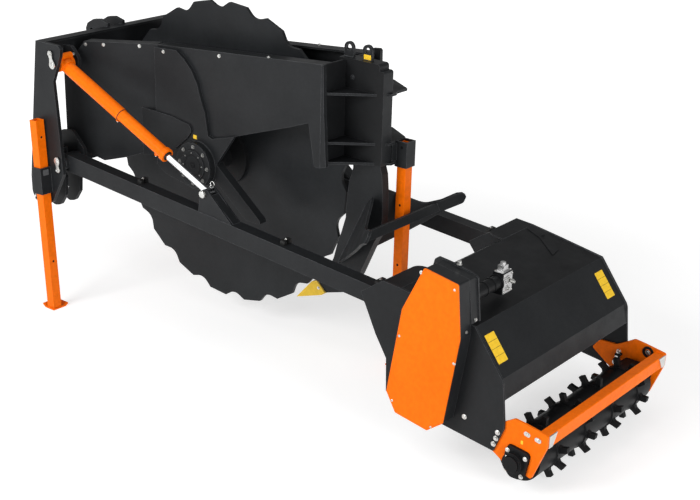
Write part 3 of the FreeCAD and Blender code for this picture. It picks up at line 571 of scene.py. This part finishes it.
def bone(a, ra, b, rb, waist, n=14):
    """outline of a keeper: two round ends and a narrower waist"""
    L = math.hypot(b[0] - a[0], b[1] - a[1])
    th = math.degrees(math.atan2(b[1] - a[1], b[0] - a[0]))
    ux, uy = (b[0] - a[0]) / L, (b[1] - a[1]) / L
    m0 = (a[0] + ux * L * 0.55, a[1] + uy * L * 0.55)
    left = [(m0[0] - uy * waist, m0[1] + ux * waist)]
    right = [(m0[0] + uy * waist, m0[1] - ux * waist)]
    return arc(a[0], a[1], ra, th + 50, th + 310, n) + right + arc(b[0], b[1], rb, th - 125, th + 125, n) + left


X_, Y_, Z_ = Vector((1, 0, 0)), Vector((0, 1, 0)), Vector((0, 0, 1))
CHAR, ORA, YEL, ZN, STL, MOT = "charcoal_paint", "orange_paint", "yellow_paint", "zinc_pin", "axle_steel", "motor_metal"

# ---------------------------------------------------------------------------
# headstock: keeper plates over the pins, stand pins, welds
# ---------------------------------------------------------------------------
k = Kit("pin_keepers", "frame", "zinc", ZN)
for s in (-1, 1):
    out = Vector((s, 0, 0))
    for big, rb_, small, rs_ in (((900, 1702), 27, (917, 1772), 20), ((906, 1056), 25, (899, 995), 18)):
        prof = bone(big, rb_, small, rs_, rs_ * 0.66)
        # outline in Y and Z, thickness outward
        if s < 0:
            k.plate([(-a, b) for a, b in prof], (-676.0, 0, 0), -Y_, Z_, 7.0)
        else:
            k.plate(prof, (676.0, 0, 0), Y_, Z_, 7.0)
        k.turned((s * 670.0, small[0], small[1]), out, [(13, 0), (13, 6.2)], 24)
        k.bolt((s * 683.0, small[0], small[1]), out, 10.5, 8)
        k.turned((s * 683.0, big[0], big[1]), out, [(16.5, 0), (16.5, 2.4), (15.0, 3.4), (5.0, 3.4), (4.0, 1.2)], 32)
k.done(0.8)

lean = math.atan2(1080 - 1009, 1315 - 96)
YB = 1009 - 96 * math.tan(lean) - 32.5 / math.cos(lean)


def leg(sx, dx, dy, s):
    """a point on the leaning front leg: across, forward of its middle, and up along it"""
    return Vector((sx * (713.5 + dx), YB + math.sin(lean) * s + math.cos(lean) * dy, math.cos(lean) * s - math.sin(lean) * dy))


LY = Vector((0, math.cos(lean), -math.sin(lean)))
LZ = Vector((0, math.sin(lean), math.cos(lean)))
k = Kit("stand_lock_pins", "frame", "zinc", ZN)
t = Kit("stand_lock_tabs", "frame", "charcoal", CHAR)
g = Kit("stand_sleeve_pads", "frame", "label_grey", CHAR)
for sx in (-1, 1):
    k.bolt(leg(sx, 0, 43.5, 986), LY, 9, 8)
    t.plate(rrect(46, 66, 8), leg(sx, 0, 44.0, 806), X_, LZ, -7.0)
    p0 = leg(sx, 0, 51.0, 795)
    k.turned(p0, LY, [(15, 0), (15, 3), (11, 4), (11, 16), (13.5, 17), (13.5, 24), (12, 26)], 28)
    ring = [p0 + LY * 20 + Vector((math.cos(a) * 17, 0, math.sin(a) * 17 - 15)) for a in [2 * math.pi * i / 28 for i in range(28)]]
    k.tube(ring, 2.2, 8, closed=True)
    g.plate(rrect(44, 38, 3), leg(sx, 0, -43.5, 968), X_, LZ, 3.0)
    # weld runs between sleeve and side plate
for sx in (-1, 1):
    t.weld([leg(sx, -43.5, 42.0, 826), leg(sx, -43.5, 42.0, 995)], 4.0)
    t.weld([leg(sx, -43.5, -42.0, 826), leg(sx, -43.5, -42.0, 995)], 4.0)
# rear stand: pin through its sleeve and sleeve weld
k.turned((135, -1281.5, 1450), (0, 1, 0), [(9, 0), (9, 9), (7.5, 11), (3, 11)], 24)
t.weld([(91.5, -1283, 1372), (91.5, -1283, 1476)], 4.0)
k.done()
t.done(0.6)
g.done(0.5)


def hole_rim(kit_rim, kit_dark, pos, axis, r):
    """a drilled hole as it reads on thick tube: a flat dark disc of painted shade for the bore and a thin bright rim"""
    kit_dark.turned(pos, axis, [(r, 0), (r, 0.5), (r * 0.5, 0.35), (0, 0.3)], 28)
    kit_rim.tubering(pos, axis, r + 2.2, r - 0.4, 1.0, 28, 0.4)


# flat dark discs of painted shade where the rear sleeve's holes are
kd = Kit("rear_sleeve_holes", "frame", "hole", CHAR)
kd.turned((91.3, -1331, 1455), (-1, 0, 0), [(9, 0), (9, 0.6), (4.5, 0.45), (0, 0.4)], 26)
kd.turned((178.7, -1331, 1455), (1, 0, 0), [(9, 0), (9, 0.6), (4.5, 0.45), (0, 0.4)], 26)
kd.done()
for sx, body in ((-1, "stand_front_left"), (1, "stand_front_right")):
    kd = Kit("leg_holes_" + body, body, "hole", ORA)
    kr = Kit("leg_hole_rims_" + body, body, "orange", ORA)
    for s_ in (1206, 342):
        hole_rim(kr, kd, leg(sx, 0, -32.5, s_), -LY, 8.5)
    for s_ in (1206, 342):
        hole_rim(kr, kd, leg(sx, 0, 32.5, s_), LY, 8.5)
    # weld of the foot and the tube's plug
    c = [leg(sx, a, b, 13) for a, b in ((-32, -32), (32, -32), (32, 32), (-32, 32), (-32, -32))]
    kr.weld(c, 3.6)
    kd.done()
    kr.done()
kd = Kit("leg_holes_rear", "stand_rear", "hole", ORA)
kr = Kit("leg_hole_rims_rear", "stand_rear", "orange", ORA)
for z in (1088, 700, 330):
    hole_rim(kr, kd, Vector((102.5, -1325, z)), (-1, 0, 0), 8.5)
    hole_rim(kr, kd, Vector((167.5, -1325, z)), (1, 0, 0), 8.5)
kr.weld([(102.5, -1357.5, 12), (167.5, -1357.5, 12), (167.5, -1292.5, 12), (102.5, -1292.5, 12), (102.5, -1357.5, 12)], 3.6)
kd.done()
kr.done()

# ---------------------------------------------------------------------------
# panels, shields and hub
# ---------------------------------------------------------------------------
b_ = Kit("panel_bolts", "frame", "zinc", ZN)
# the hub bolts take the darker zinc copy as painted shade
hb_ = Kit("hub_bolts", "frame", "zinc_painted_shade", ZN)
NS = Vector((-683.0, -200.0, 0.0)).normalized()
for s in (-1, 1):
    def sh(y, z, off=0.0):
        q = Vector((-250 - 200 * (y - 382) / 683.0, y, z)) + NS * off
        return Vector((q.x * -s, q.y, q.z))
    nrm = Vector((NS.x * -s, NS.y, 0))
    for y, z in ((896, 1792), (765, 1804), (507, 1826)):
        b_.bolt(sh(y, z), nrm, 8, 6.5)
        b_.nut(sh(y, z, -12.0), -nrm, 8, 7)
    out = Vector((s, 0, 0))
    b_.bolt((s * 275.0, 300, 1822), out, 8, 6.5)
    for y, z in ((-165, 1869),):
        b_.bolt((s * 250.0, y, z), out, 8, 6.5)
        b_.nut((s * 238.0, y, z), -out, 8, 7)
    # hub: eight flange bolts, eight cap screws
    for i in range(8):
        a = math.radians(1 + 45 * i)
        hb_.bolt((s * 326.0, 121 * math.cos(a), 1147 + 121 * math.sin(a)), out, 8.5, 8)
        a = math.radians(40 + 45 * i)
        hb_.bolt((s * 332.0, 82 * math.cos(a), 1147 + 82 * math.sin(a)), out, 5.0, 4.5, washer=False, dome=True)
    # the bolt on the panel's top fold
    b_.bolt((s * 235.0, -560, 1924.4), (0, 0.0766, 0.9971), 8, 6)
b_.done()
hb_.done()

h_ = Kit("hub_trim", "frame", "charcoal_dark", CHAR)
for s in (-1, 1):
    out = Vector((s, 0, 0))
    h_.tubering((s * 331.9, 0, 1147), out, 70, 63, 2.6, 48)
    h_.turned((s * 331.9, 0, 1147), out, [(22, 0), (22, 3), (18, 5), (9, 5), (8, 3.5), (0, 3.5)], 32)
    h_.tubering((s * 325.9, 0, 1147), out, 104, 98.6, 3.2, 64)
    # lobes of the flange round its bolts
    for i in range(8):
        a = math.radians(1 + 45 * i)
        h_.turned((s * 312.5, 138 * math.cos(a), 1147 + 138 * math.sin(a)), out, [(16, 0), (16, 9), (14.5, 11)], 24)
h_.done(0.5)

w_ = Kit("frame_welds", "frame", "charcoal", CHAR)
# the welds under the carrier ribs sit in the pockets and take the darker paint as painted shade
rw_ = Kit("carrier_rib_welds", "frame", "charcoal_dark", CHAR)
for s in (-1, 1):
    xi = s * 645.0
    w_.weld([(xi, 1070, 1642), (xi, 1070, 1831)], 4.5)
    w_.weld([(xi, 1012, 1640), (xi, 1068, 1640)], 4.5)
    w_.weld([(xi, 1010, 1642), (xi, 1010, 1815)], 4.5)
    w_.weld([(xi, 1120, 962), (xi, 1120, 1088)], 4.5)
    w_.weld([(xi, 1022, 960), (xi, 1118, 960)], 4.5)
    w_.weld([(xi, 1022, 1090), (xi, 1118, 1090)], 4.5)
    # lower link ears under the beam
    for xe in (432.5, 457.5, 532.5, 557.5):
        w_.weld([(s * xe, 1024, 960), (s * xe, 1116, 960)], 4.0)
    # top link ears
    for xe in (53, 78):
        w_.weld([(s * xe, 1071, 1650), (s * xe, 1071, 1832)], 4.0)
        w_.weld([(s * xe, 1042, 1833), (s * xe, 1070, 1833)], 4.0)
    # clevis plates
    for xe in (470, 495):
        w_.weld([(s * xe, 1020, 962), (s * xe, 1020, 1088)], 4.0)
        w_.weld([(s * xe, 1022, 1090), (s * xe, 1083, 1090)], 4.0)
        w_.weld([(s * xe, 1010, 1645), (s * xe, 1010, 1788)], 4.0)
    # hub plate round the housing, scraper arm
    circ = [(s * 275.0, 147.5 * math.cos(a), 1147 + 147.5 * math.sin(a)) for a in [2 * math.pi * i / 40 for i in range(41)]]
    w_.weld(circ, 3.6, 6.0)
    w_.weld([(s * 275.0, 378, 1066), (s * 275.0, 378, 1125)], 3.6)
    # front shield to side panel
    w_.weld([(s * 250.5, 383, 1165), (s * 250.5, 383, 1250)], 3.6)
    # carrier end plate to side panel
    w_.weld([(s * 250.0, -985, 1338), (s * 250.0, -985, 1950)], 2.6)
    # ribs to the column, from below
    for z in (1477, 1775):
        rw_.weld([(s * 45.0, -1230 if s < 0 else -1276, z), (s * 45.0, -1002, z)], 3.4)
        rw_.weld([(s * 50.0, -998, z), (s * 222.0, -998, z)], 3.4)
    # mouldboard on the shank
    w_.weld([(s * 30.0, -968, 662), (s * 30.0, -1170, 1086)], 5.0)
    # lifting eyes
    w_.weld([(s * 8.0, -1025, 1966), (s * 8.0, -957, 1966)], 4.0)
    w_.weld([(s * 8.0, -1163, 1966), (s * 8.0, -1095, 1966)], 4.0)
w_.done()
rw_.done()

cb_ = Kit("carrier_bolts", "frame", "charcoal", CHAR)
c_ = Kit("ripper_point_bolts", "frame", "zinc", ZN)
for s in (-1, 1):
    out = Vector((s, 0, 0))
    cb_.bolt((s * 45.0, -1052, 1858), out, 10, 8)
c_.bolt((-40.0, -817, 445), (-1, 0, 0), 7, 5, washer=True)
c_.bolt((40.0, -817, 445), (1, 0, 0), 7, 5, washer=True)
c_.done()
cb_.done()

# bare film where the small stickers sit
l_ = Kit("frame_label_films", "frame", "label", YEL)
l_.plate(rrect(30, 26, 4), (-275.0, 29, 1317), -Y_, Z_, 0.8)
l_.plate(rrect(52, 30, 3), (-8.0, -1129, 1983), -Y_, Z_, 0.8)
l_.done()

# ---------------------------------------------------------------------------
# lift cylinders
# ---------------------------------------------------------------------------
HY, HZ = 915.0, 1690.0
CD = Vector((0, -373 - HY, 1115 - HZ)).normalized()
CN = X_.cross(CD).normalized()
if CN.z > 0:
    CN = -CN                    # underside of the cylinder
for s, side in ((-1, "left"), (1, "right")):
    cx = s * 570.0
    H0 = Vector((cx, HY, HZ))
    inb = Vector((-s, 0, 0))
    o_ = Kit("cylinder_ports_" + side, "barrel_" + side, "orange", ORA)
    # eye bosses either side of the head eye
    for q in (-1, 1):
        o_.tubering(H0 + X_ * (q * 34.9), (q, 0, 0), 46, 18.5, 22, 40, 1.6)
    # head port on the eye, looking inboard
    P0 = Vector((cx, 902, 1741))
    o_.turned(P0 - inb * 44, inb, [(20, 0), (23, 2), (23, 92), (21, 94)], 30)
    o_.turned(H0 + CD * 20 - CN * 6, CD, [(44.5, 0), (46, 4), (46, 26), (43.4, 34)], 40)
    for d in (568, 945):
        q = H0 + CD * d
        o_.turned(q + CN * 34, CN, [(14, 0), (14, 14), (11.5, 16), (11.5, 22), (10, 23)], 24)
    # gland nut
    o_.turned(H0 + CD * 996, CD, [(43.2, 0), (45.2, 1.5), (45.2, 30), (43, 33)], 40)
    o_.done(0.6)
    z_ = Kit("cylinder_fittings_" + side, "barrel_" + side, "zinc", ZN)
    F0 = P0 + inb * 50
    z_.turned(F0, inb, [(15, 0), (15, 9)], 6)
    z_.turned(F0 + inb * 9, inb, [(10, 0), (10, 5), (13.5, 6), (13.5, 12)], 20)
    for d in (568, 945):
        q = H0 + CD * d
        z_.turned(q + CN * 57, CN, [(7, 0), (7, 5)], 6)
        z_.turned(q + CN * 62, CN, [(4, 0), (3, 3), (4.2, 4.5), (3, 6.5)], 14)
    z_.done(0.3)
    r_ = Kit("cylinder_seals_" + side, "barrel_" + side, "rubber", ORA)
    r_.tubering(H0 + CD * 1029.8, CD, 31, 20.6, 4.0, 36, 1.0)
    r_.tubering(H0 + CD * 585.5, CD, 43.5, 38.5, 3.4, 48, 0.6)
    r_.done()

# ---------------------------------------------------------------------------
# carrying beams: hose clips, bracket welds, pin rings
# ---------------------------------------------------------------------------
TB_ = math.radians(4.6)
BU = Vector((0, -math.cos(TB_), -math.sin(TB_)))
BN = Vector((0, -math.sin(TB_), math.cos(TB_)))
BP = Vector((0, 905, 1037))


def beam(x, s_, h_):
    return Vector((x, 0, 0)) + Vector((0, BP.y, BP.z)) + BU * s_ + BN * h_


clip_dark = Kit("hose_clip_bodies", "arm", "rubber", CHAR)
clip_zinc = Kit("hose_clip_bolts", "arm", "zinc", ZN)
beam_weld = Kit("beam_welds", "arm", "charcoal", CHAR)
for s in (-1, 1):
    for y in (223, -985, -1690):
        s0 = (905 - y) / math.cos(TB_)
        for part in (-19, 19):
            c0 = beam(s * 556 + part, s0, 55)
            shell = arc(0, 13, 13, 180, 0, 12) + [(13, 0), (-13, 0)]
            clip_dark.plate(shell, c0 - BU * 17, X_, BN, 34.0) if X_.cross(BN).dot(BU) > 0 else clip_dark.plate(shell, c0 + BU * 17, X_, BN, 34.0)
        clip_dark.plate(rrect(70, 30, 4), beam(s * 556, s0, 55 + 26.2), X_, BU, -3.0 if X_.cross(BU).dot(BN) < 0 else 3.0)
        clip_zinc.bolt(beam(s * 556, s0, 55 + 29.2), BN, 6, 5)
    # the bracket's foot on the beam
    for xe in (s * 610.0, s * 542.0 - s * 12.0 + s * 0.0):
        a = beam(xe, (905 + 340) / math.cos(TB_), 55)
        b = beam(xe, (905 + 598) / math.cos(TB_), 55)
        beam_weld.weld([a, b], 4.0)
    # end cap seam of the tube
    e0 = [beam(s * 570 + a, 2662 if h < 0 else 2716, h) for a, h in ((-44, -54), (44, -54))]
    beam_weld.weld(e0, 3.0)
    # ring of the safety pin on the foot pin
    pc = Vector((s * 540.0, -380, 1163))
    clip_zinc.tube([pc + Vector((0, 15 * math.cos(a), 15 * math.sin(a))) for a in [2 * math.pi * i / 26 for i in range(26)]], 2.4, 8, closed=True)
    clip_zinc.turned((s * 624.0, -373, 1115), (s, 0, 0), [(23, 0), (23, 3), (20, 5.5), (8, 6.5), (0, 6.6)], 32)
clip_dark.done(0.6)
clip_zinc.done(0.4)
beam_weld.done()

# ---------------------------------------------------------------------------
# mulcher head: guard, hood, motor
# ---------------------------------------------------------------------------
g_ = Kit("guard_cover_bolts", "arm", "zinc", ZN)
for y, z in ((-2127, 1140), (-2342, 1104), (-2003, 738), (-2362, 690), (-1972, 338), (-2238, 268)):
    g_.bolt((-776.4, y, z), (-1, 0, 0), 8.0, 4.6, dome=True)
g_.bolt((-640.0, -2392.0, 905), (0, -1, 0), 7, 5)
g_.bolt((-720.0, -2391.5, 860), (0, -1, 0.0), 6, 4.5)
for y, z in ((-2383, 343), (-2597, 325), (-2589, 287), (-2576, 249)):
    for s in (-1, 1):
        g_.bolt((s * 676.0, y, z), (s, 0, 0), 10, 8)
        g_.nut((s * 649.0 if y < -2500 else s * 664.0, y, z), (-s, 0, 0), 11, 9, stud=5)
# lifting stud
g_.turned((-606.0, -2247, 1168), Z_, [(15, 0), (15, 3), (10, 4), (10, 12), (12, 13), (12, 20), (10, 22)], 26)
g_.done()

t_ = Kit("guard_hem", "arm", "orange", ORA)
COVER = [(-2146, 1172), (-2363, 1137), (-2392, 837), (-2313, 316), (-2213, 239), (-1996, 272), (-1931, 383), (-2014, 900)]
cy_, cz_ = sum(p_[0] for p_ in COVER) / 8.0, sum(p_[1] for p_ in COVER) / 8.0
hem = []
for y, z in COVER:
    d = Vector((y - cy_, z - cz_))
    d = d * (1 - 6.0 / d.length)
    hem.append((cy_ + d.x, cz_ + d.y))
loop_ = []
for i in range(8):
    a, b = Vector(hem[i]), Vector(hem[(i + 1) % 8])
    for f in (0.06, 0.3, 0.5, 0.7, 0.94):
        q = a.lerp(b, f)
        loop_.append((-779.6, q.x, q.y))
t_.tube(loop_, 2.0, 8, closed=True)
t_.done()

hw = Kit("hood_welds", "arm", "charcoal", CHAR)
SKIN = [(-1925, 958), (-2114, 928), (-2410, 878), (-2597, 634), (-2621, 519)]
for s in (-1, 1):
    hw.weld([(s * 663.0, y, z + 1.0) for y, z in SKIN], 3.4, 6.0)
    hw.weld([(s * 664.0, -1805, 742), (s * 664.0, -1805, 828)], 3.6)
    hw.weld([(s * 664.0, -1807, 740), (s * 664.0, -1893, 740)], 3.6)
    for x in (374, 386):
        hw.weld([(s * x, -1804.5, 754), (s * x, -1804.5, 828)], 3.2)
    # flap seam on the hood
    hw.weld([(s * 345, -1922, 957.5), (s * 660, -1922, 957.5)], 3.0)
hw.done()

# low access plate on the right of the hood, with its bolt; the plate takes the darker paint of the hood's top sheet as
# painted shade
ap = Kit("hood_access_plate", "arm", "charcoal_dark", CHAR)
SL = math.atan2(30, 189)
hv = Vector((0, -math.cos(SL), -math.sin(SL)))
O_ = Vector((0, -1925, 958.6))
ap.plate([(655, 6), (655, 118), (512, 282), (418, 300), (548, 126), (590, 6)], O_ + Vector((0, 0, 3.5)), X_, hv, 3.5)
ap.done(0.8)
ab = Kit("hood_access_bolts", "arm", "charcoal_dark", CHAR)
ab.bolt((592, -2046, 943.5), (0, -0.157, 0.9875), 8, 6)
ab.done()

# bare yellow film at the sticker places of the hood's rear slope
SR = Vector((0, -187.0, -244.0)).normalized()
sn = X_.cross(SR)
if sn.y > 0:
    sn = -sn
sl = Kit("hood_label_films", "arm", "label", YEL)
sb = Kit("hood_label_borders", "arm", "rubber", YEL)
for cx in (-592.0, 564.0):
    c0 = Vector((cx, -2410, 878)) + SR * 148.0 + sn * 0.2
    outl = rrect(88, 168, 5)
    uu = X_ if X_.cross(SR).dot(sn) > 0 else -X_
    sb.plate(rrect(92, 172, 6), c0, uu, SR, 0.5)
    sl.plate(outl, c0 + sn * 0.45, uu, SR, 0.6)
    for q in (-42, 0, 42):
        sb.plate(rrect(84, 1.6, 0.6), c0 + SR * q + sn * 1.0, uu, SR, 0.35)
sl.plate(rrect(14, 22, 3), (-664.0, -2742, 314), -Y_, Z_, 0.7)
sl.done()
sb.done()

# motor: machined rear cover and top, ports, plugs, screws
mk = Kit("motor_machined_covers", "arm", "alu", MOT)
mk.plate(rrect(88, 116, 6), (-282, -2350, 994), X_, Z_, 3.0)
mk.plate(rrect(90, 58, 5), (-282, -2317, 1056), X_, Y_, 2.5)
mk.tubering((-282, -2352.6, 1012), (0, -1, 0), 25, 15, 5, 32)
mk.tubering((-282, -2352.6, 962), (0, -1, 0), 17, 9, 4, 28)
mk.done(0.8)
mz = Kit("motor_fittings", "arm", "zinc", ZN)
mz.turned((-282, -2354, 1012), (0, -1, 0), [(17, 0), (17, 12)], 6, 0.3)
mz.turned((-282, -2366, 1012), (0.35, -0.9, -0.25), [(10.5, 0), (10.5, 9), (13, 10), (13, 22), (9, 23), (9, 30), (6.5, 31)], 22)
mz.turned((-282, -2354, 962), (0, -1, 0), [(11, 0), (11, 8)], 6, 0.1)
mz.turned((-282, -2362, 962), (0, -1, 0), [(7.5, 0), (7.5, 9), (6, 10)], 18)
for x, z in ((-318, 1042), (-246, 1042), (-318, 946), (-246, 946)):
    mz.bolt((x, -2353, z), (0, -1, 0), 6.5, 6, washer=False, dome=True)
for x, y in ((-318, -2340), (-318, -2294), (-246, -2340), (-246, -2294)):
    mz.bolt((x, y, 1058.5), (0, 0, 1), 5.5, 5, washer=False, dome=True)
for i in range(6):
    a = math.radians(20 + 60 * i)
    mz.bolt((-586.0, -2315 + 49 * math.cos(a), 1003 + 49 * math.sin(a)), (1, 0, 0), 5.5, 6, washer=False)
mz.done(0.3)
md = Kit("motor_neck_rings", "arm", "charcoal_dark", MOT)
for x in (-560, -470, -400):
    md.tubering((x, -2315, 1003), (1, 0, 0), 41.5, 37.9, 8, 40, 1.2)
md.done()

# rotor: bearing bolts and hammer tips
rbk = Kit("rotor_bearing_bolts", "arm", "zinc", ZN)
for s in (-1, 1):
    for i in range(6):
        a = math.radians(30 + 60 * i)
        rbk.bolt((s * 690.0, -2130 + 90 * math.cos(a), 400 + 90 * math.sin(a)), (s, 0, 0), 8.0, 7, washer=False)
rbk.done()

rt = Kit("rotor_hammer_tips", "rotor", "steel", STL)
for i in range(20):
    a = math.radians(360.0 / 5 * 2 * i + 11.0)
    x = -590 + i * 62
    rad_ = Vector((0, math.cos(a), math.sin(a)))       # the block's own +Y
    tan_ = Vector((0, -math.sin(a), math.cos(a)))      # the block's own +Z, along its height
    # the hammer stands along its own Z from 80 to 190
    base = Vector((x, -2130, 400)) + tan_ * 150.0
    rt.plate([(-24, -32), (24, -32), (24, 30), (18, 39), (-18, 39), (-24, 30)], base + rad_ * 30.0 + X_ * 0.0, X_, tan_, 9.0) if X_.cross(tan_).dot(rad_) > 0 else rt.plate([(-24, -32), (24, -32), (24, 30), (18, 39), (-18, 39), (-24, 30)], base + rad_ * 30.0, -X_, tan_, 9.0)
    rt.bolt(base + rad_ * 39.0 - tan_ * 8, rad_, 7, 5, washer=False)
rt.done(0.6)

# ---------------------------------------------------------------------------
# roller frame
# ---------------------------------------------------------------------------
rz = Kit("roller_frame_bolts", "arm", "zinc", ZN)
for s in (-1, 1):
    out = Vector((s, 0, 0))
    # slotted washers and bolts at the crossbar
    for y, z in ((-2771, 373), (-2838, 362)):
        u = Vector((0, -0.985, -0.17))
        w_out = [(a, b) for a, b in teardrop((-7, 0), 13, (7, 0), 13.0001)]
        vv = Vector((0, -0.17, 0.985))
        org = Vector((s * 664.0, y, z))
        if u.cross(vv).dot(out) > 0:
            rz.plate(w_out, org, u, vv, 4.0)
        else:
            rz.plate([(-a, b) for a, b in w_out], org, -u, vv, 4.0)
        rz.bolt(org + out * 4.0, out, 9, 7, washer=False)
    # bearing flange bolts
    for y, z in ((-2668, 250), (-2778, 234), (-2761, 121), (-2664, 132)):
        rz.bolt((s * 680.0, y, z), out, 9, 7.5)
    # adjuster: threaded rod with nuts on the inner face
    prof = []
    h = 0.0
    while h < 74:
        prof += [(7.4, h), (6.6, h + 1.4)]
        h += 2.8
    rz.turned((s * 630.0, -2604, 268), Z_, prof, 18)
    for z in (284, 300, 326):
        rz.turned((s * 630.0, -2604, z), Z_, [(14, 0), (14, 10)], 6, 0.2)
    # bolt in the plate's round boss
    rz.bolt((s * 645.0, -2783, 381), (-s, 0, 0), 10, 7)
    # grease nipple on the cap
    rz.turned((s * 700.0, -2709 + 34, 188 + 38), out, [(4.5, 0), (4.5, 3), (3, 4), (4, 6), (2.6, 8)], 14)
rz.done(0.3)

rp = Kit("roller_frame_bosses", "arm", "charcoal_dark", ORA)
for s in (-1, 1):
    rp.tubering((s * 649.0, -2783, 381), (-s, 0, 0), 36, 20, 5, 40, 1.2)
    # bracket the adjuster passes through
    lo = (s * 648.5) if s < 0 else (s * 648.5 - 34)
    rp.rings([[Vector((lo + a, -2604 + b, 310)) for a, b in ((0, -17), (34, -17), (34, 17), (0, 17))], [Vector((lo + a, -2604 + b, 322)) for a, b in ((0, -17), (34, -17), (34, 17), (0, 17))]])
    rp.tubering((s * 700.0, -2709, 188), (s, 0, 0), 52, 44.2, 4.0, 48, 1.0)
rp.done(0.6)

rw = Kit("roller_frame_welds", "arm", "orange", ORA)
for s in (-1, 1):
    rw.weld([(s * 648.5, -2833, 400), (s * 648.5, -2888, 400)], 3.4)
rw.done()

sw = Kit("roller_shaft_seals", "roller", "steel", STL)
for s in (-1, 1):
    sw.tubering((s * 620.0, -2709, 188), (s, 0, 0), 52, 35.2, 6, 40, 1.0)
sw.done()
rr = Kit("roller_ring_welds", "roller", "charcoal_dark", CHAR)
for x in (-425, -125, 175, 475):
    for q in (-22, 22):
        rr.weld([(x + q, -2709 + 129.0 * math.cos(a), 188 + 129.0 * math.sin(a)) for a in [2 * math.pi * i / 36 for i in range(37)]], 3.0, 7.0)
rr.done()




bpy.context.scene.view_settings.view_transform = "Standard"
